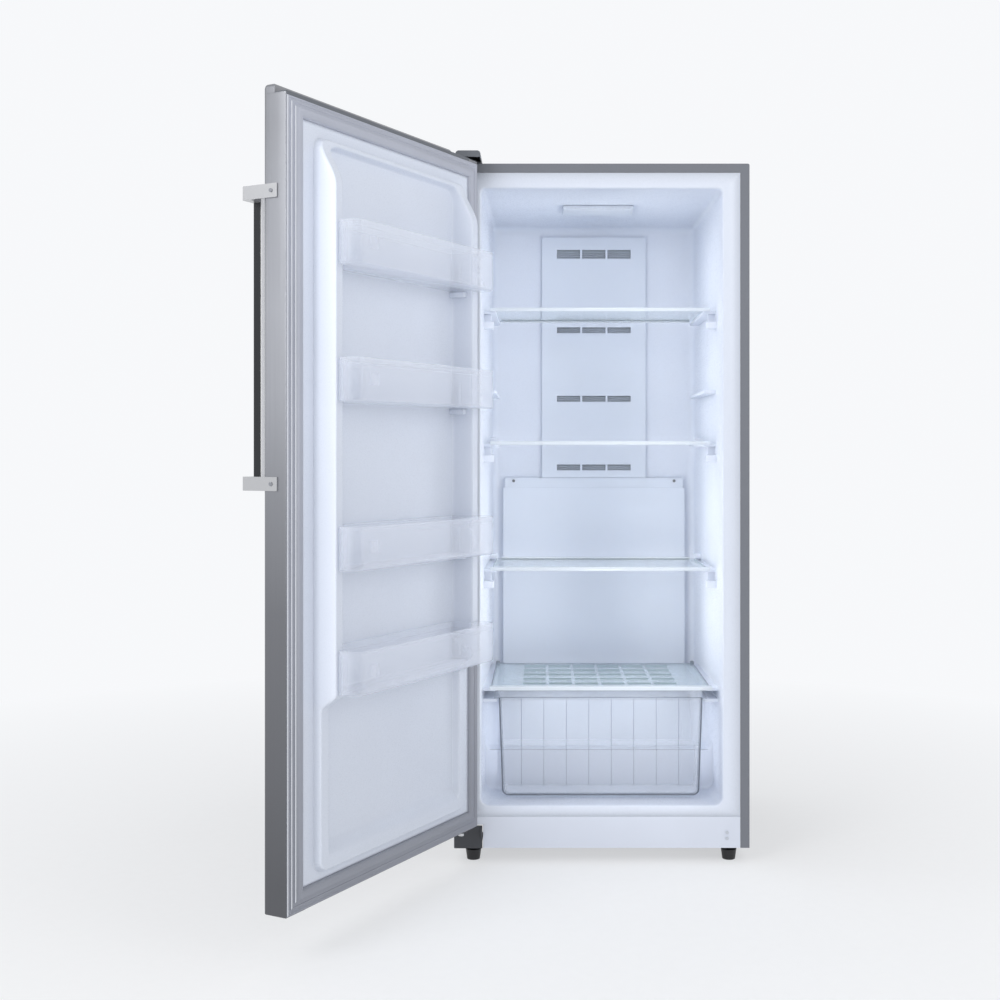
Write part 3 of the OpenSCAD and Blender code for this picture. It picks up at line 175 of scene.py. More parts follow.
def makePiece(name, form, body, finishes, place=inCabinet, stands=(), sharp=32,
              sheet=0.0, facing=None, paint=None):
    points, faces = form
    mesh = bpy.data.meshes.new(name)
    mesh.from_pydata([tuple(place(*p)) for p in points], [], faces)
    if paint:
        mesh.polygons.foreach_set("material_index", paint)
    work = bmesh.new()
    work.from_mesh(mesh)
    bmesh.ops.remove_doubles(work, verts=work.verts[:], dist=samePlace)
    bmesh.ops.recalc_face_normals(work, faces=work.faces[:])
    if facing is not None:
        # an open sheet: its faces look the way that facing says
        total = sum((f.normal * f.calc_area() for f in work.faces), Vector())
        if total.dot(facing) < 0:
            bmesh.ops.reverse_faces(work, faces=work.faces[:])
    work.to_mesh(mesh)
    work.free()
    for finish in finishes if isinstance(finishes, (list, tuple)) else [finishes]:
        mesh.materials.append(finish)
    mesh.shade_smooth()
    mesh.set_sharp_from_angle(angle=math.radians(sharp))
    piece = bpy.data.objects.new(name, mesh)
    scene.collection.objects.link(piece)
    if sheet:
        wall = piece.modifiers.new("wall", "SOLIDIFY")
        wall.thickness = sheet / 1000
        wall.offset = -1
    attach(piece, body)
    if stands:
        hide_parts(*stands)
    return piece


edgeRounding = {"weld": 0.00002, "flat": 0.1, "angle": 38, "segments": 2}


def softenEdges(nodeName, width):
    # rounds the sharp edges of a node for its looks only
    node = nodes[nodeName]
    weld = node.modifiers.new("weld", "WELD")
    weld.merge_threshold = edgeRounding["weld"]
    flat = node.modifiers.new("flat", "DECIMATE")
    flat.decimate_type = "DISSOLVE"
    flat.angle_limit = math.radians(edgeRounding["flat"])
    bevel = node.modifiers.new("edge", "BEVEL")
    bevel.width = width / 1000
    bevel.segments = edgeRounding["segments"]
    bevel.limit_method = "ANGLE"
    bevel.angle_limit = math.radians(edgeRounding["angle"])
    even = node.modifiers.new("shade", "WEIGHTED_NORMAL")
    even.keep_sharp = False


# finishes

def newFinish(name):
    finish = bpy.data.materials.new(name)
    finish.use_nodes = True
    return finish, finish.node_tree, finish.node_tree.nodes["Principled BSDF"]


def addNode(tree, kind, **settings):
    node = tree.nodes.new(kind)
    for key, value in settings.items():
        setattr(node, key, value)
    return node


def noiseOn(tree, scale, detail=3, stretch=(1, 1, 1)):
    where = addNode(tree, "ShaderNodeTexCoord")
    turn = addNode(tree, "ShaderNodeMapping")
    turn.inputs["Scale"].default_value = stretch
    noise = addNode(tree, "ShaderNodeTexNoise")
    noise.inputs["Scale"].default_value = scale
    noise.inputs["Detail"].default_value = detail
    tree.links.new(where.outputs["Object"], turn.inputs["Vector"])
    tree.links.new(turn.outputs["Vector"], noise.inputs["Vector"])
    return noise


def between(tree, source, low, high, fromLow=0.3, fromHigh=0.7):
    span = addNode(tree, "ShaderNodeMapRange")
    span.inputs["From Min"].default_value = fromLow
    span.inputs["From Max"].default_value = fromHigh
    span.inputs["To Min"].default_value = low
    span.inputs["To Max"].default_value = high
    tree.links.new(source, span.inputs["Value"])
    return span.outputs["Result"]


def colourSpan(tree, source, dark, light, fromLow=0.3, fromHigh=0.7):
    ramp = addNode(tree, "ShaderNodeValToRGB")
    ramp.color_ramp.elements[0].position = fromLow
    ramp.color_ramp.elements[0].color = (*dark, 1)
    ramp.color_ramp.elements[1].position = fromHigh
    ramp.color_ramp.elements[1].color = (*light, 1)
    tree.links.new(source, ramp.inputs["Fac"])
    return ramp.outputs["Color"]


def bumpFrom(tree, source, height, strength=1.0):
    bump = addNode(tree, "ShaderNodeBump")
    bump.inputs["Distance"].default_value = height
    bump.inputs["Strength"].default_value = strength
    tree.links.new(source, bump.inputs["Height"])
    return bump.outputs["Normal"]


rampHeight = 2.0  # metres from the floor that a tone by height covers


def risen(tree, colourOut, stops):
    # painted light and shade by height: stops are (height in metres, factor), the lowest and the highest one
    # first
    where = addNode(tree, "ShaderNodeTexCoord")
    split = addNode(tree, "ShaderNodeSeparateXYZ")
    ramp = addNode(tree, "ShaderNodeValToRGB")
    mix = addNode(tree, "ShaderNodeMix", data_type="RGBA", blend_type="MULTIPLY")
    mix.inputs["Factor"].default_value = 1.0
    for i, (height, factor) in enumerate(stops):
        spot = height / rampHeight
        element = ramp.color_ramp.elements[i] if i < 2 else ramp.color_ramp.elements.new(spot)
        element.position = spot
        element.color = (factor, factor, factor, 1)
    tree.links.new(where.outputs["Object"], split.inputs["Vector"])
    tree.links.new(between(tree, split.outputs["Z"], 0.0, 1.0, 0.0, rampHeight), ramp.inputs["Fac"])
    tree.links.new(colourOut, mix.inputs["A"])
    tree.links.new(ramp.outputs["Color"], mix.inputs["B"])
    return mix.outputs["Result"]


def shade(colour, factor):
    return tuple(min(1.0, c * factor) for c in colour)


driftScale = 7.0  # of the slow noise in a finish's colour


def solidFinish(name, colour, rough, metal=0.0, grain=900.0, depth=0.00002, drift=0.04, spread=0.06,
                coat=0.0, rise=None):
    # a moulded, painted or cast surface: slow drift of colour, fine grain in the gloss
    finish, tree, shader = newFinish(name)
    slow = noiseOn(tree, driftScale, 2)
    fine = noiseOn(tree, grain, 3)
    colourOut = colourSpan(tree, slow.outputs["Fac"], shade(colour, 1 - drift), shade(colour, 1 + drift / 2))
    if rise:
        colourOut = risen(tree, colourOut, rise)
    tree.links.new(colourOut, shader.inputs["Base Color"])
    tree.links.new(between(tree, fine.outputs["Fac"], max(0.03, rough - spread), rough + spread),
                   shader.inputs["Roughness"])
    tree.links.new(bumpFrom(tree, fine.outputs["Fac"], depth), shader.inputs["Normal"])
    shader.inputs["Metallic"].default_value = metal
    shader.inputs["Coat Weight"].default_value = coat
    return finish


brushing = {"coarse": 0.45, "from": 0.36, "to": 0.64, "smoother": 0.05, "rougher": 0.07, "bump": 0.6,
            "turn": 0.25}


def brushedFinish(name, colour, rough, stretch, streak=0.07, depth=0.00001, rise=None, drawn=0.0):
    # metal brushed along one axis: long fine streaks in colour and gloss; drawn pulls reflections upright
    v = brushing
    finish, tree, shader = newFinish(name)
    hair = noiseOn(tree, 1.0, 4, stretch)
    coarse = noiseOn(tree, 1.0, 2, tuple(s * v["coarse"] for s in stretch))
    added = addNode(tree, "ShaderNodeMath", operation="ADD")
    half = addNode(tree, "ShaderNodeMath", operation="MULTIPLY")
    half.inputs[1].default_value = 0.5
    tree.links.new(hair.outputs["Fac"], added.inputs[0])
    tree.links.new(coarse.outputs["Fac"], added.inputs[1])
    tree.links.new(added.outputs["Value"], half.inputs[0])
    both = half.outputs["Value"]
    colourOut = colourSpan(tree, both, shade(colour, 1 - streak), shade(colour, 1 + streak), v["from"],
                           v["to"])
    if rise:
        colourOut = risen(tree, colourOut, rise)
    tree.links.new(colourOut, shader.inputs["Base Color"])
    gloss = between(tree, both, rough - v["smoother"], rough + v["rougher"], v["from"], v["to"])
    tree.links.new(gloss, shader.inputs["Roughness"])
    tree.links.new(bumpFrom(tree, hair.outputs["Fac"], depth, v["bump"]), shader.inputs["Normal"])
    shader.inputs["Metallic"].default_value = 1.0
    shader.inputs["Anisotropic"].default_value = drawn
    shader.inputs["Anisotropic Rotation"].default_value = v["turn"]
    return finish


clearing = {"darker": 0.97, "rougher": 0.05}


def clearFinish(name, colour, rough, seeLow, seeHigh, power=0.5, grain=260.0, depth=0.00002):
    # clear moulded plastic or glass: lets light through, and shows more of itself at a slant
    finish, tree, shader = newFinish(name)
    out = tree.nodes["Material Output"]
    ripple = noiseOn(tree, grain, 2)
    tone = colourSpan(tree, ripple.outputs["Fac"], shade(colour, clearing["darker"]), colour)
    tree.links.new(tone, shader.inputs["Base Color"])
    gloss = between(tree, ripple.outputs["Fac"], rough, rough + clearing["rougher"])
    tree.links.new(gloss, shader.inputs["Roughness"])
    tree.links.new(bumpFrom(tree, ripple.outputs["Fac"], depth), shader.inputs["Normal"])
    slant = addNode(tree, "ShaderNodeLayerWeight")
    slant.inputs["Blend"].default_value = power
    clear = addNode(tree, "ShaderNodeBsdfTransparent")
    mix = addNode(tree, "ShaderNodeMixShader")
    tree.links.new(between(tree, slant.outputs["Facing"], seeLow, seeHigh, 0.0, 1.0), mix.inputs["Fac"])
    tree.links.new(clear.outputs["BSDF"], mix.inputs[1])
    tree.links.new(shader.outputs["BSDF"], mix.inputs[2])
    tree.links.new(mix.outputs["Shader"], out.inputs["Surface"])
    return finish


# near black satin lacquer on the wrapped shell; the flange round the front is the same lacquer painted
# lighter grey, a painted reflection
lacquer = {"side": (0.020, 0.021, 0.024), "front": (0.19, 0.20, 0.225), "rough": 0.32, "gloss": 0.16,
           "flange": (0.0012, 0.0024), "grain": 420.0, "depth": 0.00002, "sideDrift": (0.85, 1.15),
           "frontDrift": (0.96, 1.04), "smoother": 0.04, "rougher": 0.06}


def cabinetLacquerPaintedReflection():
    v = lacquer
    finish, tree, shader = newFinish("cabinetLacquerPaintedReflection")
    where = addNode(tree, "ShaderNodeTexCoord")
    split = addNode(tree, "ShaderNodeSeparateXYZ")
    tree.links.new(where.outputs["Object"], split.inputs["Vector"])
    start, end = v["flange"]
    # painted reflection: the first millimetres behind the front are painted lighter grey
    edge = between(tree, split.outputs["Y"], 1.0, 0.0, frontY + start, frontY + end)
    speck = noiseOn(tree, v["grain"], 3)
    dark = colourSpan(tree, speck.outputs["Fac"], *(shade(v["side"], f) for f in v["sideDrift"]))
    light = colourSpan(tree, speck.outputs["Fac"], *(shade(v["front"], f) for f in v["frontDrift"]))
    mix = addNode(tree, "ShaderNodeMix", data_type="RGBA")
    tree.links.new(edge, mix.inputs["Factor"])
    tree.links.new(dark, mix.inputs["A"])
    tree.links.new(light, mix.inputs["B"])
    tree.links.new(mix.outputs["Result"], shader.inputs["Base Color"])
    gloss = between(tree, speck.outputs["Fac"], v["rough"] - v["smoother"], v["rough"] + v["rougher"])
    tree.links.new(gloss, shader.inputs["Roughness"])
    tree.links.new(bumpFrom(tree, speck.outputs["Fac"], v["depth"]), shader.inputs["Normal"])
    shader.inputs["Specular IOR Level"].default_value = v["gloss"]
    return finish


def alongDoor(tree, axis, start, end):
    # 0 before start and 1 after end, both measured along an axis of the door
    where = addNode(tree, "ShaderNodeTexCoord")
    dot = addNode(tree, "ShaderNodeVectorMath", operation="DOT_PRODUCT")
    dot.inputs[1].default_value = axis
    tree.links.new(where.outputs["Object"], dot.inputs[0])
    return between(tree, dot.outputs["Value"], 0.0, 1.0, start.dot(axis), end.dot(axis))


# painted shade and a painted highlight on the handle bar: its free side is nearly black, its rear face is
# pale and glows faintly though it is no lamp;
# spans in millimetres on the closed door, each one fading from its first value to its second
barPaintedLight = {"at": (315, -105), "side": (324.0, 324.6), "outer": (-96.2, -97.2), "rear": (-96.6, -95.9),
            "dark": (0.055, 0.056, 0.06), "paintedHighlight": (0.95, 0.955, 0.97), "metal": 0.1, "glow": 0.3,
            "glowTint": (0.95, 0.965, 1.0)}


def paintBarLightAndShade(finish):
    v = barPaintedLight
    tree = finish.node_tree
    shader = tree.nodes["Principled BSDF"]
    across, outward = doorTurn @ Vector((1, 0, 0)), doorTurn @ Vector((0, -1, 0))
    barX, barY = v["at"]
    side = alongDoor(tree, across, *(onDoor(x, barY, 0) for x in v["side"]))
    outer = alongDoor(tree, outward, *(onDoor(barX, y, 0) for y in v["outer"]))
    rear = alongDoor(tree, outward, *(onDoor(barX, y, 0) for y in v["rear"]))
    both = addNode(tree, "ShaderNodeMath", operation="MULTIPLY")
    tree.links.new(side, both.inputs[0])
    tree.links.new(outer, both.inputs[1])
    # painted shade: the free side turns nearly black
    mix = addNode(tree, "ShaderNodeMix", data_type="RGBA")
    mix.inputs["B"].default_value = (*v["dark"], 1)
    tree.links.new(both.outputs["Value"], mix.inputs["Factor"])
    # painted highlight: the rear face turns pale, less metallic and faintly glowing
    paintedHighlight = addNode(tree, "ShaderNodeMix", data_type="RGBA")
    paintedHighlight.inputs["B"].default_value = (*v["paintedHighlight"], 1)
    tree.links.new(rear, paintedHighlight.inputs["Factor"])
    tree.links.new(shader.inputs["Base Color"].links[0].from_socket, paintedHighlight.inputs["A"])
    tree.links.new(paintedHighlight.outputs["Result"], mix.inputs["A"])
    tree.links.new(mix.outputs["Result"], shader.inputs["Base Color"])
    tree.links.new(between(tree, rear, 1.0, v["metal"], 0.0, 1.0), shader.inputs["Metallic"])
    tree.links.new(between(tree, rear, 0.0, v["glow"], 0.0, 1.0), shader.inputs["Emission Strength"])
    shader.inputs["Emission Color"].default_value = (*v["glowTint"], 1)


glowing = {"grain": 300.0, "darker": 0.85, "rough": 0.4}


def glowFinish(name, colour, strength):
    finish, tree, shader = newFinish(name)
    spot = noiseOn(tree, glowing["grain"], 2)
    for socket in ("Base Color", "Emission Color"):
        tone = colourSpan(tree, spot.outputs["Fac"], shade(colour, glowing["darker"]), colour)
        tree.links.new(tone, shader.inputs[socket])
    shader.inputs["Emission Strength"].default_value = strength
    shader.inputs["Roughness"].default_value = glowing["rough"]
    return finish


doorSteel = brushedFinish("doorSteel", (0.30, 0.304, 0.322), rough=0.36, stretch=(1500, 1500, 7.0),
                          streak=0.03, depth=0.000002, drawn=0.9)
# painted light and shade on the door's side steel by height, as risen takes it: darkest at the bottom,
# brightest in its upper part
sidePaintedLight = ((0.15, 0.32), (1.62, 0.68), (0.68, 0.49), (0.90, 0.70), (1.10, 0.97), (1.26, 1.02),
             (1.45, 0.86))
# the door's side strip: the front's brushed steel painted lighter, with painted light and shade by height
sideSteelPaintedLight = brushedFinish("sideSteelPaintedLight", (0.43, 0.44, 0.475), rough=0.36, stretch=(1500, 1500, 7.0),
                          streak=0.03, depth=0.000002, rise=sidePaintedLight)
handleSteel = brushedFinish("handleSteel", (0.50, 0.50, 0.485), rough=0.27, stretch=(1600, 1600, 12.0),
                            streak=0.06, depth=0.000004)
bracketSteel = solidFinish("bracketSteel", (0.54, 0.545, 0.56), rough=0.30, metal=0.75, grain=2500.0,
                           depth=0.000001, drift=0.03, spread=0.02)
shellLacquer = cabinetLacquerPaintedReflection()
linerPlastic = solidFinish("linerPlastic", (0.70, 0.745, 0.84), rough=0.30, grain=700.0, depth=0.000012,
                           drift=0.015)
# the door's lining: the cabinet lining's plastic with painted shade, darker towards the bottom
doorPlasticPaintedShade = solidFinish("doorPlasticPaintedShade", (0.70, 0.745, 0.84), rough=0.30, grain=700.0, depth=0.000012,
                          drift=0.015, rise=((0.15, 0.86), (1.65, 1.0)))
kickPlastic = solidFinish("kickPlastic", (0.67, 0.71, 0.80), rough=0.34, grain=900.0, depth=0.00002,
                          drift=0.02)
panelPlastic = solidFinish("panelPlastic", (0.69, 0.74, 0.83), rough=0.33, grain=700.0, depth=0.000015,
                           drift=0.015)
zincSheet = solidFinish("zincSheet", (0.50, 0.51, 0.53), rough=0.42, metal=0.85, grain=60.0,
                        depth=0.00002, drift=0.10)
hingeSteel = solidFinish("hingeSteel", (0.055, 0.058, 0.066), rough=0.38, metal=0.3, grain=500.0,
                         drift=0.08)
capPlastic = solidFinish("capPlastic", (0.125, 0.136, 0.156), rough=0.45, grain=700.0, depth=0.00003,
                         drift=0.05)
footPlastic = solidFinish("footPlastic", (0.012, 0.012, 0.014), rough=0.42, grain=600.0, depth=0.00003,
                          drift=0.1)
# seal rubber with painted shade: darker towards the bottom of the door
gasketRubberPaintedShade = solidFinish("gasketRubberPaintedShade", (0.44, 0.46, 0.53), rough=0.55, grain=500.0, depth=0.00002,
                           drift=0.03, rise=((0.15, 0.60), (1.65, 1.0)))
# pale rubber: a painted highlight on the seal's folds along the door's free edge
sealPaintedHighlight = solidFinish("sealPaintedHighlight", (0.72, 0.74, 0.78), rough=0.5, grain=500.0, depth=0.00001,
                        drift=0.02)
brightSteel = solidFinish("brightSteel", (0.62, 0.63, 0.64), rough=0.22, metal=1.0, grain=500.0,
                          drift=0.05)
screwSteel = solidFinish("screwSteel", (0.30, 0.31, 0.34), rough=0.35, metal=0.6, grain=500.0, drift=0.05)
trimPlastic = solidFinish("trimPlastic", (0.68, 0.73, 0.79), rough=0.22, grain=500.0, depth=0.00001,
                          drift=0.01)
baseLacquer = solidFinish("baseLacquer", (0.045, 0.046, 0.05), rough=0.5, grain=300.0, drift=0.1)
blackEnamel = solidFinish("blackEnamel", (0.010, 0.010, 0.011), rough=0.22, grain=120.0, depth=0.00003,
                          coat=0.3)
mattRubber = solidFinish("mattRubber", (0.016, 0.016, 0.017), rough=0.7, grain=400.0, depth=0.00005)
coilMetal = solidFinish("coilMetal", (0.045, 0.048, 0.052), rough=0.45, metal=0.6, grain=300.0,
                        drift=0.12)
fanPlastic = solidFinish("fanPlastic", (0.05, 0.05, 0.055), rough=0.42, grain=500.0)
palePlastic = solidFinish("palePlastic", (0.58, 0.60, 0.63), rough=0.42, grain=500.0)
copperTube = solidFinish("copperTube", (0.55, 0.27, 0.16), rough=0.32, metal=1.0, grain=200.0, drift=0.18)
finMetal = solidFinish("finMetal", (0.66, 0.67, 0.69), rough=0.3, metal=1.0, grain=300.0, drift=0.08)
foamFill = solidFinish("foamFill", (0.78, 0.68, 0.40), rough=0.85, grain=160.0, depth=0.0006, drift=0.12)
rollerPlastic = solidFinish("rollerPlastic", (0.66, 0.67, 0.69), rough=0.4, grain=400.0)
bushPlastic = solidFinish("bushPlastic", (0.80, 0.80, 0.78), rough=0.35, grain=400.0)
displayGlass = solidFinish("displayGlass", (0.006, 0.007, 0.009), rough=0.10, grain=200.0, depth=0.000004,
                           coat=0.4)
lampGlow = glowFinish("lampGlow", (0.66, 0.71, 0.80), strength=0.02)
displayGlow = glowFinish("displayGlow", (0.10, 0.55, 0.95), strength=1.6)
displayDim = glowFinish("displayDim", (0.35, 0.55, 0.62), strength=0.35)
# grey of the vents' insides: the duct's own dark, and painted shade
ventDuctAndShade = solidFinish("ventDuctAndShade", (0.45, 0.49, 0.55), rough=0.5, grain=400.0, drift=0.1)
shelfGlass = clearFinish("shelfGlass", (0.56, 0.67, 0.72), rough=0.05, seeLow=0.08, seeHigh=0.36,
                         power=0.45, grain=30.0, depth=0.0000008)
coverPlastic = clearFinish("coverPlastic", (0.62, 0.72, 0.80), rough=0.12, seeLow=0.12, seeHigh=0.60,
                           power=0.5)
drawerPlastic = clearFinish("drawerPlastic", (0.84, 0.88, 0.95), rough=0.08, seeLow=0.07, seeHigh=0.62,
                            power=0.40)
binPlastic = clearFinish("binPlastic", (0.80, 0.84, 0.93), rough=0.06, seeLow=0.05, seeHigh=0.70,
                         power=0.35)
glassEdge = solidFinish("glassEdge", (0.46, 0.56, 0.60), rough=0.15, grain=200.0, depth=0.000004,
                        drift=0.05)
drawerEdge = solidFinish("drawerEdge", (0.15, 0.17, 0.21), rough=0.25, grain=300.0, drift=0.05)
coverEdge = solidFinish("coverEdge", (0.24, 0.27, 0.32), rough=0.25, grain=300.0, drift=0.05)
# dark screws with painted light by height: lighter near the floor, darker from 0.3 m up
screwPaintedLight = solidFinish("screwPaintedLight", (0.34, 0.36, 0.40), rough=0.35, metal=0.0, grain=300.0,
                        rise=((0.1, 1.6), (0.3, 0.5)))
slotEdge = solidFinish("slotEdge", (0.32, 0.40, 0.44), rough=0.25, grain=300.0, drift=0.05)
# painted shade: a thin dark strip along the rounded top edge of the floor's step
stepPaintedShade = solidFinish("stepPaintedShade", (0.46, 0.49, 0.56), rough=0.35, grain=300.0, drift=0.05)
print("finishes made")

nodeFinish = {
    "cabinet_shell": shellLacquer, "rear_panel": zincSheet, "bottom_plate": zincSheet,
    "inner_liner": linerPlastic, "insulation_foam": foamFill, "kick_panel": kickPlastic,
    "machine_base": zincSheet, "compressor": blackEnamel, "compressor_mounts": mattRubber,
    "condenser_coil": coilMetal, "condenser_fan_frame": fanPlastic, "condenser_fan_blade": palePlastic,
    "drip_pan": palePlastic, "refrigerant_tubes": copperTube, "control_box": palePlastic,
    "cord_gland": mattRubber, "machine_cover": baseLacquer, "bottom_hinge_bracket": hingeSteel,
    "top_hinge_bracket": hingeSteel, "hinge_pins": brightSteel, "top_hinge_cover": capPlastic,
    "hinge_screws": brightSteel, "foot_bracket": hingeSteel, "roller_brackets": zincSheet,
    "roller_axles": brightSteel, "front_foot_left": footPlastic, "front_foot_right": footPlastic,
    "rear_roller_left": rollerPlastic, "rear_roller_right": rollerPlastic, "duct_panel": panelPlastic,
    "evaporator_cover": panelPlastic, "panel_screws": screwPaintedLight, "evaporator": finMetal,
    "evaporator_fan_frame": palePlastic, "evaporator_fan_blade": palePlastic, "defrost_heater": coilMetal,
    "lamp_lens": lampGlow, "drawer_cover": coverPlastic, "drawer_cover_trim": trimPlastic,
    "crisper_drawer": drawerPlastic, "door_skin": doorSteel, "door_end_caps": capPlastic,
    "door_liner": linerPlastic, "door_foam": foamFill, "door_gasket": gasketRubberPaintedShade,
    "door_hinge_bushes": bushPlastic, "handle_bar": handleSteel, "handle_brackets": bracketSteel,
    "handle_screws": screwSteel, "display_window": displayGlass,
}
for i in (1, 2, 3):
    nodeFinish["shelf_glass_%d" % i] = shelfGlass
    nodeFinish["shelf_trim_%d" % i] = trimPlastic
for i in (1, 2, 3, 4):
    nodeFinish["door_bin_%d" % i] = binPlastic
# the handle steel gets its painted shade and painted highlight
paintBarLightAndShade(handleSteel)
for nodeName, finish in nodeFinish.items():
    mesh = nodes[nodeName].data
    mesh.materials.clear()
    mesh.materials.append(finish)

edgeWidths = {
    "kick_panel": 1.5, "bottom_hinge_bracket": 0.8, "top_hinge_cover": 1.2, "foot_bracket": 0.6,
    "front_foot_left": 1.0, "front_foot_right": 1.0, "duct_panel": 1.0, "evaporator_cover": 1.2,
    "shelf_trim_1": 1.2, "shelf_trim_2": 1.2, "shelf_trim_3": 1.2, "drawer_cover_trim": 1.0,
    "handle_bar": 0.8, "handle_brackets": 0.9, "handle_screws": 0.8,
    "display_window": 0.8, "cord_gland": 0.8, "control_box": 1.0, "compressor": 1.5,
    "rear_roller_left": 1.2, "rear_roller_right": 1.2, "lamp_lens": 2.0,
}
for nodeName, width in edgeWidths.items():
    softenEdges(nodeName, width)
print("nodes dressed")


# inner lining of the cabinet

lining = {"half": 290, "halfBack": 280, "floor": 138, "top": 1620, "depth": 500, "backRadius": 22,
          "lowRadius": 20, "lowShare": 0.4, "highRadius": 12, "highShare": 0.3, "leastRadius": 3.0,
          "mouth": 5, "flangeHalf": 332.7, "flangeLow": 111.3, "flangeHigh": 1657.7, "flangeRadius": 0.3,
          "sheet": 2, "steps": 6}

# floor of the lining from front to back, as points (y, z); a bend is its centre, radius and turns
floorLine = {"front": ((40, 138), (100, 138), (147, 138)),
             "lowBend": ((147, 146), 8, (0.4, 0.8, 1.2)),
             "riser": ((155.2, 147), (156.4, 190), (157, 231)),
             "highBend": ((164.5, 232), 7, (0.3, 0.8, 1.2)),
             "step": ((166, 239), (185, 239), (206, 239)),
             "slope": ((212, 240.2), (218, 243.5), (260, 276.5), (300, 307.5), (320, 322.5), (327, 327.4),
                       (334, 329.8), (342, 330)),
             "back": ((380, 330), (430, 330), (470, 330))}


def wallLean(y):
    # how far the walls and the ceiling come in by depth y
    return (lining["half"] - lining["halfBack"]) * y / lining["depth"]


def liningRing(y, floorZ, shrink=0.0, grow=0.0):
    lean = wallLean(y)
    half = lining["half"] - lean - shrink + grow
    top = lining["top"] - lean - shrink + grow
    low = max(lining["leastRadius"], lining["lowRadius"] - shrink * lining["lowShare"] + grow)
    high = max(lining["leastRadius"], lining["highRadius"] - shrink * lining["highShare"] + grow)
    return doorway(half, floorZ + shrink - grow, top, low, high, y)


def floorPoints():
    (y, z), radius, turns = floorLine["lowBend"]
    lowBend = [(y + radius * math.sin(t), z - radius * math.cos(t)) for t in turns]
    (y, z), radius, turns = floorLine["highBend"]
    highBend = [(y - radius * math.cos(t), z + radius * math.sin(t)) for t in turns]
    return [*floorLine["front"], *lowBend, *floorLine["riser"], *highBend, *floorLine["step"],
            *floorLine["slope"], *floorLine["back"]]


def makeLining():
    v = lining
    mouth, radius, steps, flange = v["mouth"], v["backRadius"], v["steps"], v["flangeRadius"]
    rings = [doorway(v["flangeHalf"], v["flangeLow"], v["flangeHigh"], flange, flange, 0)]
    for k in range(steps + 1):
        turn = math.pi / 2 * k / steps
        rings.append(liningRing(mouth * (1 - math.cos(turn)), v["floor"], grow=mouth * (1 - math.sin(turn))))
    line = floorPoints()
    for y, z in line:
        rings.append(liningRing(y, z))
    for k in range(1, steps + 1):
        turn = math.pi / 2 * k / steps
        rings.append(liningRing(v["depth"] - radius + radius * math.sin(turn), line[-1][1],
                                shrink=radius * (1 - math.cos(turn))))
    makePiece("liningShell", loft(rings, capFirst=False), "cabinet", linerPlastic, stands=["inner_liner"],
              sheet=v["sheet"], facing=Vector((0, -1, 0)), sharp=50)


shelfHeights = {"shelf": (1344, 1014, 702), "spare": 1140, "cover": 413, "runner": 381}

# what is moulded on the side walls, for each kind of ledge: inner x, front and rear y, low and high z
# counted from its height, radius; points further out than wall are sunk into the wall
ledgeShape = {"outer": 289, "wall": 272, "sunk": 1.0,
              "shelf": ((258, 110.3, 427, -13.8, -5.8, 2.0), (263, 367, 397, -1.2, 12, 2.0),
                        (263, 96, 120, -52, -34, 2.0), (270, 126, 131, -46, -14, 1.0)),
              "spare": ((258, 110.3, 427, -8, 0, 2.0),),
              "cover": ((258, 68.3, 429, -12.3, -4.3, 2.0),),
              "runner": ((254, 72, 436, -8.3, -0.3, 2.0),),
              # the step line gives the x, y and z spans of a thin strip of painted shade at the floor's step
              "stepLine": (-284.5, 284.5, 158.3, 159.6, 235.8, 237.6)}


def toWall(form):
    # pushes the outer side of a moulded form into the leaning wall
    points, faces = form
    moved = []
    for x, y, z in points:
        if abs(x) > ledgeShape["wall"]:
            x = math.copysign(lining["half"] - wallLean(y) + ledgeShape["sunk"], x)
        moved.append((x, y, z))
    return moved, faces


def makeLedges():
    places = [(z, "shelf") for z in shelfHeights["shelf"]]
    places += [(shelfHeights[kind], kind) for kind in ("spare", "cover", "runner")]
    forms = []
    for side in (-1, 1):
        for z, kind in places:
            for inner, y0, y1, low, high, radius in ledgeShape[kind]:
                across = onSide(side, inner, ledgeShape["outer"])
                forms.append(toWall(softBox(*across, y0, y1, z + low, z + high, radius, 3)))
    makePiece("liningLedges", joined(*forms), "cabinet", linerPlastic, sharp=40)
    # a thin dark strip at the rounded top edge of the floor's step: painted shade
    step = softBox(*ledgeShape["stepLine"], 0.3, 1)
    makePiece("stepLine", step, "cabinet", stepPaintedShade)


makeLining()
makeLedges()

# dark louvres behind the vents of the upper air panel: the duct's dark inside, and painted shade for the
# depth behind the slots

# rows are (height of a vent's middle, its opening); a tall vent has many blades, the others few, and
# a blade slants from nearZ to farZ
ventRows = {"rows": ((944.3, 16), (1134.3, 16), (1324.3, 16), (1535, 24)), "wide": 64, "pitch": 70,
            "plateY": (496.6, 498.4), "over": (1, 1.5), "tall": 20, "few": 3, "many": 4,
            "bladeY": (492.4, 496.8), "nearZ": (-1.6, -0.9), "farZ": (0.9, 1.6)}
bladeFaces = [[0, 3, 2, 1], [4, 5, 6, 7], [0, 1, 5, 4], [2, 3, 7, 6], [1, 2, 6, 5], [3, 0, 4, 7]]


def bladeForm(x, half, z):
    near, far = ventRows["bladeY"]
    points = []
    for nearZ, farZ in zip(ventRows["nearZ"], ventRows["farZ"]):
        points += [(x - half, near, z + nearZ), (x + half, near, z + nearZ),
                   (x + half, far, z + farZ), (x - half, far, z + farZ)]
    return points, bladeFaces


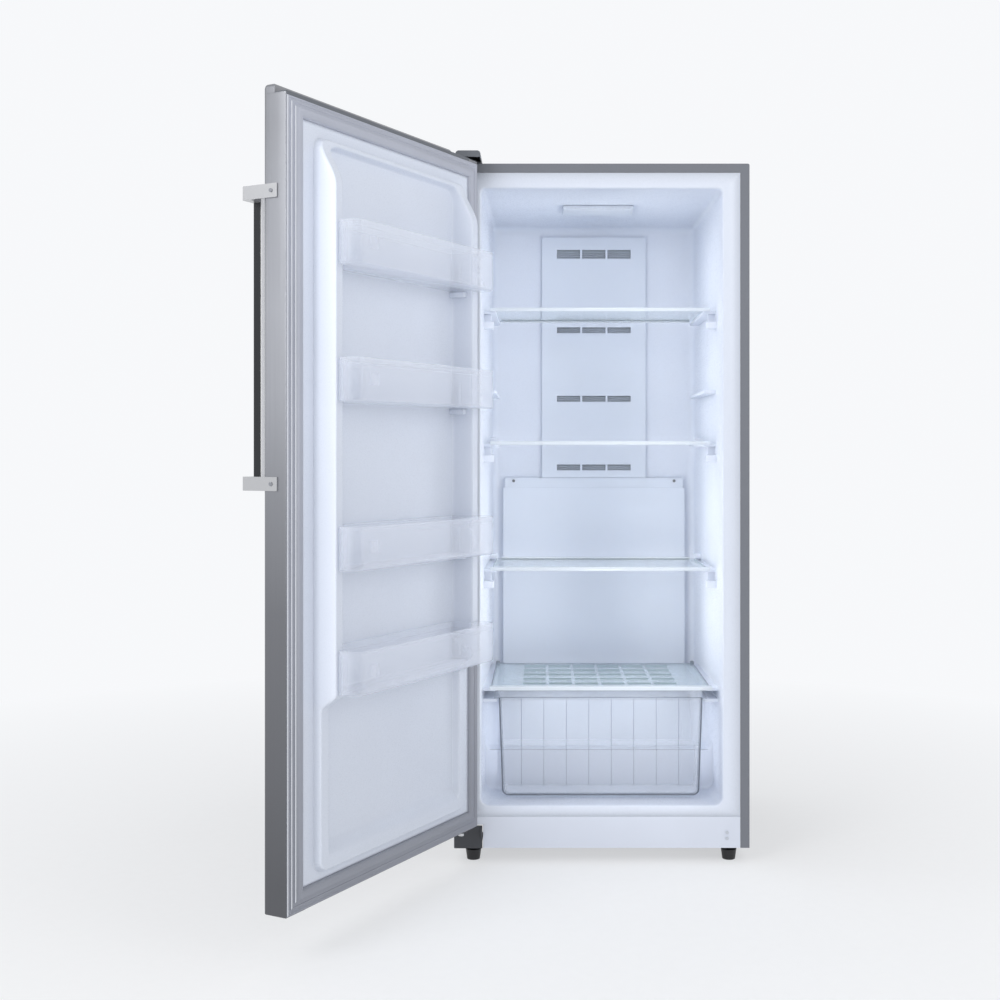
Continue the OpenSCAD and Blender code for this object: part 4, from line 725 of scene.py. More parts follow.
def makeVents():
    v = ventRows
    half = v["wide"] / 2
    overX, overZ = v["over"]
    forms = []
    for z, high in v["rows"]:
        count = v["few"] if high < v["tall"] else v["many"]
        for column in (-1, 0, 1):
            x = column * v["pitch"]
            # a dark plate behind each vent: painted shade, with the duct's own dark
            forms.append(softBox(x - half - overX, x + half + overX, *v["plateY"], z - high / 2 - overZ,
                                 z + high / 2 + overZ, 0.3, 1))
            for k in range(count):
                forms.append(bladeForm(x, half, z - high / 2 + high * (k + 0.5) / count))
    makePiece("ventLouvres", joined(*forms), "cabinet", ventDuctAndShade)


makeVents()
print("lining made")

# inner side of the door

doorMould = {"half": 308.7, "low": 145.3, "high": 1630.7, "flange": -8.0, "rimOut": 275, "rimIn": 238,
             "rimLow": 161, "rimHigh": 1606, "rimRadius": 26, "holeLow": 186, "holeHigh": 1586,
             "holeRadius": 22, "rimRise": 16, "ridgeRise": 35, "foot": (479, 514), "head": (1506, 1600),
             "sill": 36, "holeFade": 8, "rimFade": 6, "ridgeFade": (9, 7), "sheet": 2}

# cells of the moulding: a start, then where each span ends and how wide its cells are
mouldGrid = {"columns": (0, (210, 21), (226, 4), (249, 1.3), (262, 4), (279, 1.4), (doorMould["half"], 7)),
             "rows": (doorMould["low"], (157, 4), (224, 1.6), (240, 4), (470, 23), (520, 2.2), (1490, 24),
                      (1564, 4), (1612, 1.5), (doorMould["high"], 6))}


def fromEdge(x, z, half, low, high, radius):
    # distance from a rounded rectangle, negative inside it
    dx = abs(x) - (half - radius)
    dz = abs(z - (low + high) / 2) - ((high - low) / 2 - radius)
    return math.hypot(max(dx, 0), max(dz, 0)) + min(max(dx, dz), 0) - radius


def mouldHeight(x, z):
    v = doorMould
    outer = fromEdge(x, z, v["rimOut"], v["rimLow"], v["rimHigh"], v["rimRadius"])
    inner = fromEdge(x, z, v["rimIn"], v["holeLow"], v["holeHigh"], v["holeRadius"])
    hole = 1 - easeIn(inner / v["holeFade"])
    sill = easeIn((v["holeLow"] + v["sill"] - z) / v["sill"])
    rim = easeIn(-outer / v["rimFade"]) * max(1 - hole, sill)
    length = easeIn((z - v["foot"][0]) / (v["foot"][1] - v["foot"][0]))
    length *= 1 - easeIn((z - v["head"][0]) / (v["head"][1] - v["head"][0]))
    fadeIn, fadeOut = v["ridgeFade"]
    ridge = easeIn((abs(x) - v["rimIn"]) / fadeIn) * easeIn((v["rimOut"] - abs(x)) / fadeOut) * length
    return v["flange"] + v["rimRise"] * rim + v["ridgeRise"] * ridge


def spread(start, *spans):
    # grid lines from a start, for spans given as (end, step)
    values = [start]
    for end, step in spans:
        start = values[-1]
        count = max(1, round((end - start) / step))
        values += [start + (end - start) * (k + 1) / count for k in range(count)]
    return values


def makeDoorMould():
    right = spread(*mouldGrid["columns"])
    columns = [-x for x in right[:0:-1]] + right
    rows = spread(*mouldGrid["rows"])
    points = [(x, mouldHeight(x, z), z) for z in rows for x in columns]
    wide = len(columns)
    faces = [[r * wide + c, r * wide + c + 1, (r + 1) * wide + c + 1, (r + 1) * wide + c]
             for r in range(len(rows) - 1) for c in range(wide - 1)]
    outward = onDoor(0, 10, 0) - onDoor(0, 0, 0)
    makePiece("doorMould", (points, faces), "door", doorPlasticPaintedShade, place=onDoor, stands=["door_liner"],
              sheet=doorMould["sheet"], facing=outward, sharp=60)


binHeights = (1352, 1085, 755, 513)

# the lug under each bin's end and the tab above it: inner and outer x, y span,
# low and high z counted from the bin's underside, radius and its steps
lugShape = {"lug": (227, 242, -9, 30, -12.3, -0.3, 2.5, 3), "tab": (235.6, 242, 6, 14, 8, 60, 2.0, 2)}


def makeBinLugs():
    forms = []
    for z in binHeights:
        for side in (-1, 1):
            for inner, outer, y0, y1, low, high, radius, steps in lugShape.values():
                across = onSide(side, inner, outer)
                forms.append(softBox(*across, y0, y1, z + low, z + high, radius, steps))
    makePiece("binLugs", joined(*forms), "door", doorPlasticPaintedShade, place=onDoor)


makeDoorMould()
makeBinLugs()

# seal round the door, mitred at its corners; folds are (distance from its edge, y, 1 where it carries a
# painted highlight)

sealShape = {"half": 355, "low": 99, "high": 1677, "flat": 29, "topEdge": 8, "profile": [
    (2.0, -9.9, 0), (2.0, -9.0, 0), (2.6, -8.6, 1), (5.4, -8.6, 0), (6.0, -9.3, 0), (12.6, -9.3, 0),
    (13.0, -7.6, 1), (15.8, -7.6, 0), (16.4, -8.6, 0), (22.8, -8.6, 0), (23.2, -6.2, 1), (26.0, -6.0, 0),
    (27.0, -5.4, 0), (28.6, -2.4, 0), (30.6, -1.2, 0), (35.0, -1.05, 0), (40.0, -1.3, 0), (42.4, -2.6, 0),
    (44.4, -5.2, 0), (45.8, -7.2, 0), (45.8, -9.9, 0)]}


def makeSeal():
    v = sealShape
    rings = []
    first = v["profile"][0][0]
    for edge, y, _ in v["profile"]:
        # the fold along the top starts lower, under the cap's line
        share = min(1.0, (edge - first) / (v["flat"] - first))
        drop = max(edge, v["topEdge"] + (v["flat"] - v["topEdge"]) * share)
        half, low, high = v["half"] - edge, v["low"] + edge, v["high"] - drop
        rings.append([(-half, y, low), (half, y, low), (half, y, high), (-half, y, high)])
    points, faces = loft(rings, capFirst=False, capLast=False)
    last = len(points) - 4
    faces += [[last + i, last + (i + 1) % 4, (i + 1) % 4, i] for i in range(4)]
    # only the folds along the free edge are pale: a painted highlight, as if lit from that side
    paintedHighlight = [kind if side == 1 else 0 for _, _, kind in v["profile"][:-1] for side in range(4)] + [0] * 4
    makePiece("doorSeal", (points, faces), "door", [gasketRubberPaintedShade, sealPaintedHighlight], place=onDoor,
              stands=["door_gasket"], sharp=50, paint=paintedHighlight)


makeSeal()
print("door lining and seal made")

# steel front of the door, bent at its long edges

skinShape = {"half": 355, "front": -65, "crown": 12, "crownSteps": 60, "edgeRadius": 8, "edgeSteps": 12,
             "sideTo": -32, "back": -10, "hemRadius": 1.5, "hemSteps": 6, "turnIn": 60, "low": 99.5,
             "rows": (400, 700, 1000, 1200), "topRow": 1600, "high": 1675, "strip": 0.8, "sheet": 1,
             "window": (30.4, 1379.6, 1500.4), "clear": 2, "frontOnly": -60, "sideSteelPaintedLight": 1.6}
lipShape = {"start": -283.3, "back": -37, "low": 1675, "high": 1694, "roundIn": 7.8, "roundUp": 9.5,
            "steps": 7}


def crownArc():
    # radius and centre of the door's slightly curved front
    v = skinShape
    radius = (v["half"] ** 2 + v["crown"] ** 2) / (2 * v["crown"])
    return radius, v["front"] - v["crown"] + radius


def frontLine():
    # right half of the door's outline, from the middle of its front to the fold at its back
    v = skinShape
    crownRadius, crownY = crownArc()
    r = v["edgeRadius"]
    kneeX = v["half"] - r
    kneeY = crownY - math.sqrt((crownRadius - r) ** 2 - kneeX ** 2)
    meet = math.atan2(kneeX, crownY - kneeY)
    right = []
    for k in range(v["crownSteps"] + 1):
        turn = meet * k / v["crownSteps"]
        right.append((crownRadius * math.sin(turn), crownY - crownRadius * math.cos(turn)))
    for k in range(1, v["edgeSteps"] + 1):
        turn = meet + (math.pi / 2 - meet) * k / v["edgeSteps"]
        right.append((kneeX + r * math.sin(turn), kneeY - r * math.cos(turn)))
    right.append((v["half"], v["sideTo"]))
    hem = v["hemRadius"]
    for k in range(v["hemSteps"] + 1):
        turn = math.pi / 2 * k / v["hemSteps"]
        right.append((v["half"] - hem + hem * math.cos(turn), v["back"] - hem + hem * math.sin(turn)))
    right.append((v["half"] - v["turnIn"], v["back"]))
    return right


def makeDoorSkin():
    v = skinShape
    edge, windowLow, windowHigh = v["window"]
    strip, crownEnd = v["strip"], v["crownSteps"] + 1
    crownRadius, crownY = crownArc()
    right = frontLine()
    beside = [(x, crownY - math.sqrt(crownRadius ** 2 - x ** 2)) for x in (edge, edge + strip)]
    crown = [p for p in right[:crownEnd] if not edge - v["clear"] < p[0] < edge + v["clear"]]
    line = bothHalves(sorted(crown + beside) + right[crownEnd:])
    rows = [v["low"], v["low"] + strip, *v["rows"], windowLow - strip, windowLow, windowHigh,
            windowHigh + strip, v["topRow"], v["high"] - strip, v["high"]]
    points = [(x, y, z) for z in rows for x, y in line]
    wide = len(line)
    faces, paint = [], []
    for r in range(len(rows) - 1):
        for c in range(wide - 1):
            across = abs(line[c][0] + line[c + 1][0]) / 2
            if rows[r] == windowLow and across < edge and line[c][1] < v["frontOnly"]:
                continue
            faces.append([r * wide + c, r * wide + c + 1, (r + 1) * wide + c + 1, (r + 1) * wide + c])
            # the last strip at each side of the door takes the side steel with its painted light
            paint.append(1 if across > v["half"] - v["sideSteelPaintedLight"] else 0)
    makePiece("doorFront", (points, faces), "door", [doorSteel, sideSteelPaintedLight], place=onDoor,
              stands=["door_skin"], sheet=v["sheet"],
              facing=onDoor(0, -10, 0) - onDoor(0, 0, 0), sharp=60, paint=paint)


def makeLip():
    # raised steel lip along the top of the door's front
    v = lipShape
    front = [p for p in bothHalves(frontLine()) if p[0] > v["start"] and p[1] < v["back"]]
    outline = [(v["start"], front[0][1]), *front, (skinShape["half"], v["back"]), (v["start"], v["back"])]
    rings = [[(x, y, v["low"]) for x, y in outline]]
    for k in range(v["steps"] + 1):
        turn = math.pi / 2 * k / v["steps"]
        cut = v["roundIn"] * (1 - math.cos(turn))
        z = v["high"] - v["roundUp"] * (1 - math.sin(turn))
        rings.append([(x, y, z) for x, y in (inset(outline, cut) if cut > 0 else outline)])
    points, faces = loft(rings)
    sideFrom = skinShape["half"] - skinShape["sideSteelPaintedLight"] - v["roundIn"]
    # on the lip too, the side strip takes the side steel with its painted light
    paint = [1 if all(points[i][0] > sideFrom for i in face) else 0 for face in faces]
    makePiece("doorLip", (points, faces), "door", [doorSteel, sideSteelPaintedLight], place=onDoor,
              sharp=40, paint=paint)


# strips lie along the top: start, how far short of the side one ends, its y and z span, radius
capShape = {"cut": 1.2, "split": -312, "gap": 1, "pitch": 3, "back": -11.2, "hinge": (-335, -42),
            "hole": 9.0, "levels": ((99.2, 111), (1665, 1676.7)),
            "strips": ((-318, 0.6, (-10.9, -9.6), (1669.5, 1676.9), 0.3),
                       (-318, 0, (lipShape["back"] + 0.2, -9.7), (1675, 1677), 0.4))}


def makeCaps():
    # plastic caps closing the door's ends, with the bores for the hinge pins
    v = capShape
    core = inset(bothHalves(frontLine()), v["cut"])
    split, back, gap = v["split"], v["back"], v["gap"]
    front = min(core, key=lambda p: abs(p[0] - split))[1]
    mainLine = [(split, front)] + [p for p in core if p[0] > split + gap] + [(split, back)]
    corner = [p for p in core if p[0] < split - gap] + [(split, front), (split, back)]
    cornerLine = []
    for i, here in enumerate(corner):
        after = corner[(i + 1) % len(corner)]
        count = max(1, round(math.dist(here, after) / v["pitch"]))
        cornerLine += [(here[0] + (after[0] - here[0]) * k / count,
                        here[1] + (after[1] - here[1]) * k / count) for k in range(count)]
    hx, hy = v["hinge"]
    bore = [(hx + (x - hx) / math.dist((x, y), (hx, hy)) * v["hole"],
             hy + (y - hy) / math.dist((x, y), (hx, hy)) * v["hole"]) for x, y in cornerLine]
    forms = []
    for low, high in v["levels"]:
        forms.append(loft([[(x, y, z) for x, y in mainLine] for z in (low, high)]))
        rings = [[(x, y, z) for x, y in line] for line, z in
                 ((cornerLine, low), (cornerLine, high), (bore, high), (bore, low), (cornerLine, low))]
        forms.append(loft(rings, capFirst=False, capLast=False))
    for start, short, ySpan, zSpan, radius in v["strips"]:
        forms.append(softBox(start, skinShape["half"] - short, *ySpan, *zSpan, radius, 1))
    makePiece("doorCaps", joined(*forms), "door", capPlastic, place=onDoor, stands=["door_end_caps"])


# rings are (how far in from the core's side, height)
coreShape = {"cut": 1.4, "rings": ((2, 111.4), (0, 114), (0, 1000), (0, 1662), (2, 1664.6))}


def makeFoamCore():
    # filling of the door, behind its moulded lining
    outline = inset(bothHalves(frontLine()), coreShape["cut"])
    rings = [[(x, y, z) for x, y in inset(outline, cut)] for cut, z in coreShape["rings"]]
    makePiece("doorFilling", loft(rings), "door", foamFill, place=onDoor, stands=["door_foam"])


makeDoorSkin()
makeLip()
makeCaps()
makeFoamCore()

# lit signs on the window's face, half sunk into it: two digits, three bars, rings with a dot, a line

signs = {"y": -77.85, "thick": 0.5, "soft": 0.2, "digits": "06", "digitsAt": (-12.5, 1466),
         "digitHeight": 15, "digitWide": 8, "digitGap": 4, "stroke": 1.7, "cut": 0.6,
         "bars": {"count": 3, "x": (12, 14), "pitch": 3.2, "z": (1474, 1476.0), "grow": 2.2},
         "rings": ((1448, (-14, 0, 14)), (1430, (-9, 9)), (1412, (-14, 0, 14))), "ring": (3, 2.1),
         "ringSides": 20, "dot": 0.8, "line": (-15, 15, 1394, 1395.2)}
segments = {"0": "abcdef", "6": "acdefg"}


def markForm(x0, x1, z0, z1):
    return softBox(x0, x1, signs["y"], signs["y"] + signs["thick"], z0, z1, signs["soft"], 1)


def digitForms(digit, x, z):
    # seven strokes, lettered clockwise from the top one, with g in the middle
    high, wide, stroke, cut = (signs[key] for key in ("digitHeight", "digitWide", "stroke", "cut"))
    left, right = (x, x + stroke), (x + wide - stroke, x + wide)
    lower, upper = (z + cut, z + high / 2 - cut), (z + high / 2 + cut, z + high - cut)
    where = {"a": (x, x + wide, z + high - stroke, z + high), "b": (*right, *upper), "c": (*right, *lower),
             "d": (x, x + wide, z, z + stroke), "e": (*left, *lower), "f": (*left, *upper),
             "g": (x, x + wide, z + high / 2 - stroke / 2, z + high / 2 + stroke / 2)}
    return [markForm(*where[letter]) for letter in segments[digit]]


def ringForm(x, z):
    sides = signs["ringSides"]
    turns = [2 * math.pi * i / sides for i in range(sides)]
    outer, inner = [[(x + radius * math.cos(t), z + radius * math.sin(t)) for t in turns]
                    for radius in signs["ring"]]
    near, far = signs["y"], signs["y"] + signs["thick"]
    rings = [[(u, y, w) for u, w in loop] for loop, y in
             ((outer, near), (outer, far), (inner, far), (inner, near), (outer, near))]
    return loft(rings, capFirst=False, capLast=False)


def makeSigns():
    v = signs
    startX, z = v["digitsAt"]
    forms = []
    for column, digit in enumerate(v["digits"]):
        forms += digitForms(digit, startX + column * (v["digitWide"] + v["digitGap"]), z)
    bars = v["bars"]
    (x0, x1), (z0, z1) = bars["x"], bars["z"]
    for k in range(bars["count"]):
        forms.append(markForm(x0 + k * bars["pitch"], x1 + k * bars["pitch"], z0, z1 + bars["grow"] * k))
    makePiece("displayDigits", joined(*forms), "door", displayGlow, place=onDoor)
    forms = []
    dot = v["dot"]
    for z, marks in v["rings"]:
        for x in marks:
            forms += [ringForm(x, z), markForm(x - dot, x + dot, z - dot, z + dot)]
    forms.append(markForm(*v["line"]))
    makePiece("displayMarks", joined(*forms), "door", displayDim, place=onDoor)


makeSigns()
print("door front made")

# clear bins on the door

# profile points are (how far outwards, height): outRim from the outer face, inRim and inFloor from
# the inner one; the rims' heights count from the top, the floor's from the bottom
binShape = {"inHalf": 235, "outHalf": 265, "back": -6, "seat": 44, "front": 94, "frontRadius": 20,
            "backRadius": 6, "seatRadius": 3, "shoulderRadius": 7, "high": 87, "wall": 2.5,
            "footRadius": 7, "footSquash": 0.8, "footSteps": 4, "sideFrom": 30,
            "outRim": ((0, -16), (0.0, -15), (-0.8, -14), (-0.8, -5), (0, -4), (0, -0.8), (-0.7, 0)),
            "inRim": ((0.6, 0), (0, -0.8), (0, -12), (-0.7, -14)),
            "inFloor": ((-0.7, 22), (-1.2, 8)), "inBend": (4, 5.2), "inSteps": 3,
            "ribHalf": 190, "ribs": (20, 40, 60), "ribDeep": 2, "ribZ": (2.4, 4.2),
            "clip": (196, 226, 92.2, 94.4), "clipZ": (34, 58)}


def binOutline(grow=0.0):
    v = binShape
    corners = [(-v["inHalf"], v["back"]), (v["inHalf"], v["back"]), (v["inHalf"], v["seat"]),
               (v["outHalf"], v["seat"]), (v["outHalf"], v["front"]), (-v["outHalf"], v["front"]),
               (-v["outHalf"], v["seat"]), (-v["inHalf"], v["seat"])]
    back, seat, shoulder, front = (v[key] for key in ("backRadius", "seatRadius", "shoulderRadius",
                                                      "frontRadius"))
    radii = [back, back, seat, shoulder, front, front, shoulder, seat]
    return inset(roundedLoop(corners, radii, 6), -grow)


def makeBin(number, z0):
    v = binShape
    wall, high, foot = v["wall"], v["high"], v["footRadius"]
    outer = []
    for k in range(v["footSteps"] + 1):
        turn = math.pi / 2 * k / v["footSteps"]
        outer.append((-foot * (1 - math.sin(turn)) * v["footSquash"],
                      foot * (1 - math.cos(turn)) * v["footSquash"]))
    outer.append((0, v["sideFrom"]))
    outer += [(grow, high + z) for grow, z in v["outRim"]]
    inner = [(-wall + grow, high + z) for grow, z in v["inRim"]]
    inner += [(-wall + grow, z) for grow, z in v["inFloor"]]
    lastGrow, lastZ = inner[-1]
    across, down = v["inBend"]
    for k in range(1, v["inSteps"] + 1):
        turn = math.pi / 2 * k / v["inSteps"]
        inner.append((lastGrow - across * (1 - math.cos(turn)), lastZ - down * math.sin(turn)))
    tray = loft([[(x, y, z0 + z) for x, y in binOutline(grow)] for grow, z in outer + inner])
    ribLow, ribHigh = v["ribZ"]
    ribs = [softBox(-v["ribHalf"], v["ribHalf"], y, y + v["ribDeep"], z0 + ribLow, z0 + ribHigh, 0.5, 1)
            for y in v["ribs"]]
    clipLow, clipHigh = v["clipZ"]
    clip = softBox(*v["clip"], z0 + clipLow, z0 + clipHigh, 0.8, 2)
    makePiece("clearBin_%d" % number, joined(tray, *ribs, clip), "bin_%d" % number, binPlastic,
              place=onDoor, stands=["door_bin_%d" % number], sharp=35)


for number, z0 in enumerate(binHeights, 1):
    makeBin(number, z0)
print("bins made")

# edges of the glass, of the drawer's cover and of the drawer's front; the glass's z counts from its
# shelf, and side and rear count from the cover's edges

glassLines = {"half": 266, "thick": 0.7, "y": (110.5, 384), "z": (-5.4, -1.6)}
coverLines = {"half": 266, "side": (-2.6, 1.4), "front": 69, "back": 419, "short": 0.3,
              "sideZ": (408.95, 413.6), "postIn": 3, "postHalf": 5, "post": (410, 419, 409, 420),
              "rear": (-1.2, 0.4), "z": (408.9, 413.3)}
slotLines = {"columns": 6, "rows": 5, "wide": 57, "deep": 22, "beside": 8, "behind": 45, "start": 94,
             "thick": 0.5}
drawerLines = {"top": 248, "low": 239, "z": (149, 404), "y": 59, "radius": 14, "topRadius": 1,
               "cornerSteps": 8, "endIn": 0.6, "endDown": 18, "bead": 1.9, "ribs": 8, "ribPitch": 55,
               "ribX": (2.0, 1.25), "rib": (58.6, 59.4, 168, 384), "innerShare": 0.985, "innerY": 0.4,
               "innerUp": 3, "lowPart": 200, "innerBead": 0.45, "innerSides": 6, "stepIn": 1,
               "stepY": (54.6, 56.0), "stepZ": (17.2, 16.0)}


def wire(path, radius, sides=8):
    # a thin round bead along a path
    rings = []
    for i, p in enumerate(path):
        here = Vector(p)
        before = Vector(path[max(i - 1, 0)])
        after = Vector(path[min(i + 1, len(path) - 1)])
        along = (after - before).normalized()
        side = Vector((0, 1, 0)) if abs(along.y) < 0.9 else Vector((1, 0, 0))
        up = along.cross(side).normalized()
        side = up.cross(along).normalized()
        rings.append([tuple(here + (side * math.cos(t) + up * math.sin(t)) * radius)
                      for t in (2 * math.pi * k / sides for k in range(sides))])
    return loft(rings)


def makeGlassEdges():
    v = glassLines
    low, high = v["z"]
    for number, z in enumerate(shelfHeights["shelf"], 1):
        forms = [softBox(side * v["half"] - v["thick"], side * v["half"] + v["thick"], *v["y"], z + low,
                         z + high, 0.5, 1) for side in (-1, 1)]
        makePiece("glassEdges_%d" % number, joined(*forms), "shelf_%d" % number, glassEdge)


def makeCoverEdges():
    v = coverLines
    half, back = v["half"], v["back"]
    left, right = v["side"]
    near, far = v["rear"]
    forms = [softBox(side * half + left, side * half + right, v["front"], back - v["short"], *v["sideZ"],
                     0.6, 1) for side in (-1, 1)]
    for side in (-1, 1):
        x = side * (half - v["postIn"])
        forms.append(softBox(x - v["postHalf"], x + v["postHalf"], *v["post"], 2.0, 2))
    forms.append(softBox(-half, half, back + near, back + far, *v["z"], 0.5, 1))
    makePiece("coverEdges", joined(*forms), "cover_shelf", coverEdge)


def makeCoverSlots():
    v = slotLines
    half, thick = v["wide"] / 2, v["thick"]
    forms = []
    for column in range(v["columns"]):
        x = (column - (v["columns"] - 1) / 2) * (v["wide"] + v["beside"])
        for row in range(v["rows"]):
            y = v["start"] + row * (v["deep"] + v["behind"])
            forms += [softBox(x - half, x + half, at - thick, at + thick, *coverLines["z"], 0.3, 1)
                      for at in (y, y + v["deep"])]
    makePiece("coverSlots", joined(*forms), "cover_shelf", slotEdge)


def makeDrawerEdges():
    v = drawerLines
    low, top = v["z"]
    corners = [(-v["top"], top), (-v["low"], low), (v["low"], low), (v["top"], top)]
    loop = roundedLoop(corners, [v["topRadius"], v["radius"], v["radius"], v["topRadius"]],
                       v["cornerSteps"])
    # only the points of the two lower corners
    arc = v["cornerSteps"] + 1
    endX, endZ = v["top"] - v["endIn"], top - v["endDown"]
    path = [(-endX, v["y"], endZ), *((x, v["y"], z) for x, z in loop[arc:3 * arc]), (endX, v["y"], endZ)]
    forms = [wire(path, v["bead"])]
    left, right = v["ribX"]
    for k in range(v["ribs"]):
        x = (k - (v["ribs"] - 1) / 2) * v["ribPitch"]
        forms.append(softBox(x - left, x - right, *v["rib"], 0.3, 1))
    inner = [(x * v["innerShare"], v["y"] + v["innerY"], z + v["innerUp"] if z < v["lowPart"] else z)
             for x, _, z in path]
    forms.append(wire(inner, v["innerBead"], v["innerSides"]))
    stepHalf = v["top"] - v["stepIn"]
    stepLow, stepHigh = v["stepZ"]
    forms.append(softBox(-stepHalf, stepHalf, *v["stepY"], top - stepLow, top - stepHigh, 0.3, 1))
    makePiece("drawerEdges", joined(*forms), "drawer", drawerEdge)


makeGlassEdges()
makeCoverEdges()
makeCoverSlots()
makeDrawerEdges()
print("edges made")


# camera and light

cameraAt = {"place": (0.1664, -3.238, 0.9883), "lens": 47.95, "sensor": 36, "shift": (-0.042, -0.0485)}


def setCamera():
    cameraData = bpy.data.cameras.new("studioCamera")
    cameraData.sensor_width = cameraAt["sensor"]
    cameraData.lens = cameraAt["lens"]
    cameraData.shift_x, cameraData.shift_y = cameraAt["shift"]
    camera = bpy.data.objects.new("studioCamera", cameraData)
    camera.location = cameraAt["place"]
    camera.rotation_euler = (math.radians(90), 0, 0)
    scene.collection.objects.link(camera)
    scene.camera = camera


def areaLamp(name, at, target, size, power, tint=(1, 1, 1)):
    lampData = bpy.data.lights.new(name, "AREA")
    lampData.shape = "RECTANGLE"
    lampData.size, lampData.size_y = size
    lampData.energy = power
    lampData.color = tint
    lamp = bpy.data.objects.new(name, lampData)
    lamp.location = at
    lamp.rotation_euler = (Vector(target) - Vector(at)).to_track_quat("-Z", "Y").to_euler()
    scene.collection.objects.link(lamp)
    return lamp


def cabinetLamp(name, at, target, *rest):
    # the same, with its places in millimetres in the cabinet
    return areaLamp(name, tuple(inCabinet(*at)), tuple(inCabinet(*target)), *rest)


# sky is the light of the surroundings, skySeen their brightness in the picture;
# bands are (degrees from the front, brightness), as shiny surfaces see the surroundings, ends first
skyLight = {"sky": 0.66, "skySeen": 0.96, "tint": (0.97, 0.98, 1.0),
            "bands": ((-70, 1.0), (58, 0.9), (-20, 0.8), (14, 0.35), (27, 0.25), (38, 1.0), (47, 0.75))}

# lamps: where one is, where it looks, its size in metres, its power and its tint
roomLamps = {"keyLamp": ((-2.6, -3.2, 3.2), (0.2, 0, 0.9), (2.2, 2.2), 62),
             "fillLamp": ((3.2, -2.6, 2.2), (0.3, 0, 0.8), (2.0, 2.4), 24),
             "frontLamp": ((0.5, -4.2, 1.6), (0.3, 0, 0.9), (1.6, 1.6), 15)}
insideLamp = ((0, 235, 1600), (0, 260, 300), (0.16, 0.08), 0.15, (0.95, 0.97, 1.0))
cabinetLamps = {"mouthLamp": ((0, -30, 780), (0, 400, 760), (0.5, 1.3), 0.62, (0.97, 0.98, 1.0)),
                "ceilingLamp": ((0, 210, 1370), (0, 211, 1620), (0.4, 0.25), 0.004),
                "drawerLamp": ((0, 250, 400), (0, 251, 150), (0.4, 0.25), 0.15)}

# this one lights only the door's inner side and its bins
ridgeLamp = ((-1.6, -3.0, 1.2), (-0.3, -0.55, 0.9), (0.8, 2.0), 24)
doorLit = ("doorMould", "doorSeal", "binLugs", "clearBin_1", "clearBin_2", "clearBin_3", "clearBin_4")

# lamps turned to the side walls, beside the drawer and between the shelves; rows are (height, power)
besideLamps = {"x": (256, 290), "y": 190, "z": 275, "size": (0.25, 0.2), "power": 0.065}
wallLamps = {"rows": ((1455, 0.27), (1180, 0.26), (860, 0.34), (580, 0.48)),
             "shares": ((-1, 0.86), (1, 1.0)), "x": (90, 280), "y": 165, "size": (0.2, 0.16),
             "tint": (1.0, 0.965, 0.88), "beam": 125}


def setWorld():
    world = bpy.data.worlds.new("studio")
    world.use_nodes = True
    tree = world.node_tree
    back = tree.nodes["Background"]
    path = addNode(tree, "ShaderNodeLightPath")
    seen = addNode(tree, "ShaderNodeMath", operation="MAXIMUM")
    seenToo = addNode(tree, "ShaderNodeMath", operation="MAXIMUM")
    tree.links.new(path.outputs["Is Camera Ray"], seen.inputs[0])
    tree.links.new(path.outputs["Is Transmission Ray"], seen.inputs[1])
    tree.links.new(seen.outputs["Value"], seenToo.inputs[0])
    tree.links.new(path.outputs["Is Glossy Ray"], seenToo.inputs[1])
    level = between(tree, seenToo.outputs["Value"], skyLight["sky"], skyLight["skySeen"], 0.0, 1.0)
    # what shiny surfaces see: dark and bright upright bands in front of the object
    look = addNode(tree, "ShaderNodeTexCoord")
    split = addNode(tree, "ShaderNodeSeparateXYZ")
    turn = addNode(tree, "ShaderNodeMath", operation="ARCTAN2")
    side = addNode(tree, "ShaderNodeMath", operation="MULTIPLY")
    side.inputs[1].default_value = -1.0
    front = addNode(tree, "ShaderNodeMath", operation="MULTIPLY")
    front.inputs[1].default_value = -1.0
    tree.links.new(look.outputs["Generated"], split.inputs["Vector"])
    tree.links.new(split.outputs["X"], side.inputs[0])
    tree.links.new(split.outputs["Y"], front.inputs[0])
    tree.links.new(side.outputs["Value"], turn.inputs[0])
    tree.links.new(front.outputs["Value"], turn.inputs[1])
    bands = addNode(tree, "ShaderNodeValToRGB")
    for i, (angle, tone) in enumerate(skyLight["bands"]):
        spot = 0.5 + angle / 360
        element = bands.color_ramp.elements[i] if i < 2 else bands.color_ramp.elements.new(spot)
        element.position = spot
        element.color = (tone, tone, tone, 1)
    tree.links.new(between(tree, turn.outputs["Value"], 0.0, 1.0, -math.pi, math.pi), bands.inputs["Fac"])
    shiny = addNode(tree, "ShaderNodeMix", data_type="FLOAT")
    shiny.inputs["A"].default_value = 1.0
    tree.links.new(path.outputs["Is Glossy Ray"], shiny.inputs["Factor"])
    tree.links.new(bands.outputs["Color"], shiny.inputs["B"])
    strength = addNode(tree, "ShaderNodeMath", operation="MULTIPLY")
    tree.links.new(level, strength.inputs[0])
    tree.links.new(shiny.outputs["Result"], strength.inputs[1])
    tree.links.new(strength.outputs["Value"], back.inputs["Strength"])
    back.inputs["Color"].default_value = (*skyLight["tint"], 1)
    scene.world = world


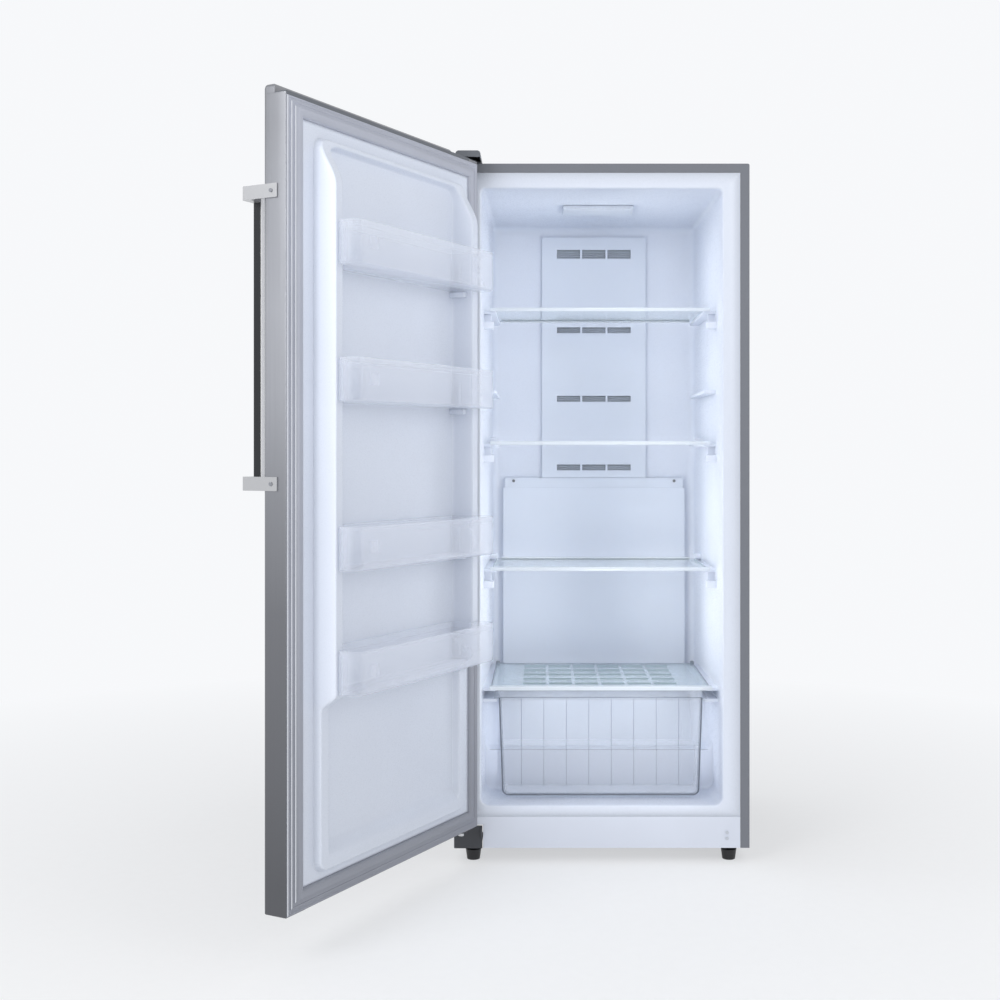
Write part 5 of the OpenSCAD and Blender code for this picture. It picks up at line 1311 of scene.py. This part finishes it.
def setLamps():
    for name, lamp in roomLamps.items():
        areaLamp(name, *lamp)
    cabinetLamp("insideLamp", *insideLamp)
    hidden = [cabinetLamp(name, *lamp) for name, lamp in cabinetLamps.items()]
    ridge = areaLamp("ridgeLamp", *ridgeLamp)
    hidden.append(ridge)
    lit = bpy.data.collections.new("doorLit")
    for name in doorLit:
        lit.objects.link(bpy.data.objects[name])
    ridge.light_linking.receiver_collection = lit
    v = besideLamps
    near, far = v["x"]
    for side in (-1, 1):
        hidden.append(cabinetLamp("besideLamp", (side * near, v["y"], v["z"]), (side * far, v["y"], v["z"]),
                                  v["size"], v["power"]))
    v = wallLamps
    near, far = v["x"]
    for z, power in v["rows"]:
        for side, share in v["shares"]:
            lamp = cabinetLamp("wallLamp", (-side * near, v["y"], z), (side * far, v["y"], z), v["size"],
                               power * share, v["tint"])
            lamp.data.spread = math.radians(v["beam"])
            hidden.append(lamp)
    for lamp in hidden:
        lamp.visible_camera = False
        lamp.visible_glossy = False
        lamp.visible_transmission = False


# share is how much of the glow the paper has, at the first and the second distance of fade in metres
floorPaper = {"size": 30.0, "grain": 40.0, "dark": (0.92, 0.925, 0.93), "light": (0.94, 0.945, 0.95),
              "rough": 0.8, "glow": (0.931, 0.941, 0.96), "share": (0.55, 1.0), "fade": (0.8, 2.8)}


def layFloor():
    v = floorPaper
    size = v["size"]
    mesh = bpy.data.meshes.new("studioFloor")
    corners = [(-size, -size, 0), (size, -size, 0), (size, size, 0), (-size, size, 0)]
    mesh.from_pydata(corners, [], [[0, 1, 2, 3]])
    floor = bpy.data.objects.new("studioFloor", mesh)
    finish, tree, shader = newFinish("floorPaper")
    out = tree.nodes["Material Output"]
    speck = noiseOn(tree, v["grain"], 3)
    tone = colourSpan(tree, speck.outputs["Fac"], v["dark"], v["light"])
    tree.links.new(tone, shader.inputs["Base Color"])
    shader.inputs["Roughness"].default_value = v["rough"]
    where = addNode(tree, "ShaderNodeTexCoord")
    reach = addNode(tree, "ShaderNodeVectorMath", operation="LENGTH")
    tree.links.new(where.outputs["Object"], reach.inputs[0])
    glow = addNode(tree, "ShaderNodeEmission")
    glow.inputs["Color"].default_value = (*v["glow"], 1)
    mix = addNode(tree, "ShaderNodeMixShader")
    tree.links.new(between(tree, reach.outputs["Value"], *v["share"], *v["fade"]), mix.inputs["Fac"])
    tree.links.new(shader.outputs["BSDF"], mix.inputs[1])
    tree.links.new(glow.outputs["Emission"], mix.inputs[2])
    tree.links.new(mix.outputs["Shader"], out.inputs["Surface"])
    mesh.materials.append(finish)
    scene.collection.objects.link(floor)


setCamera()
setWorld()
setLamps()
layFloor()
scene.view_settings.view_transform = "Standard"
scene.cycles.transparent_max_bounces = 24
print("studio set")
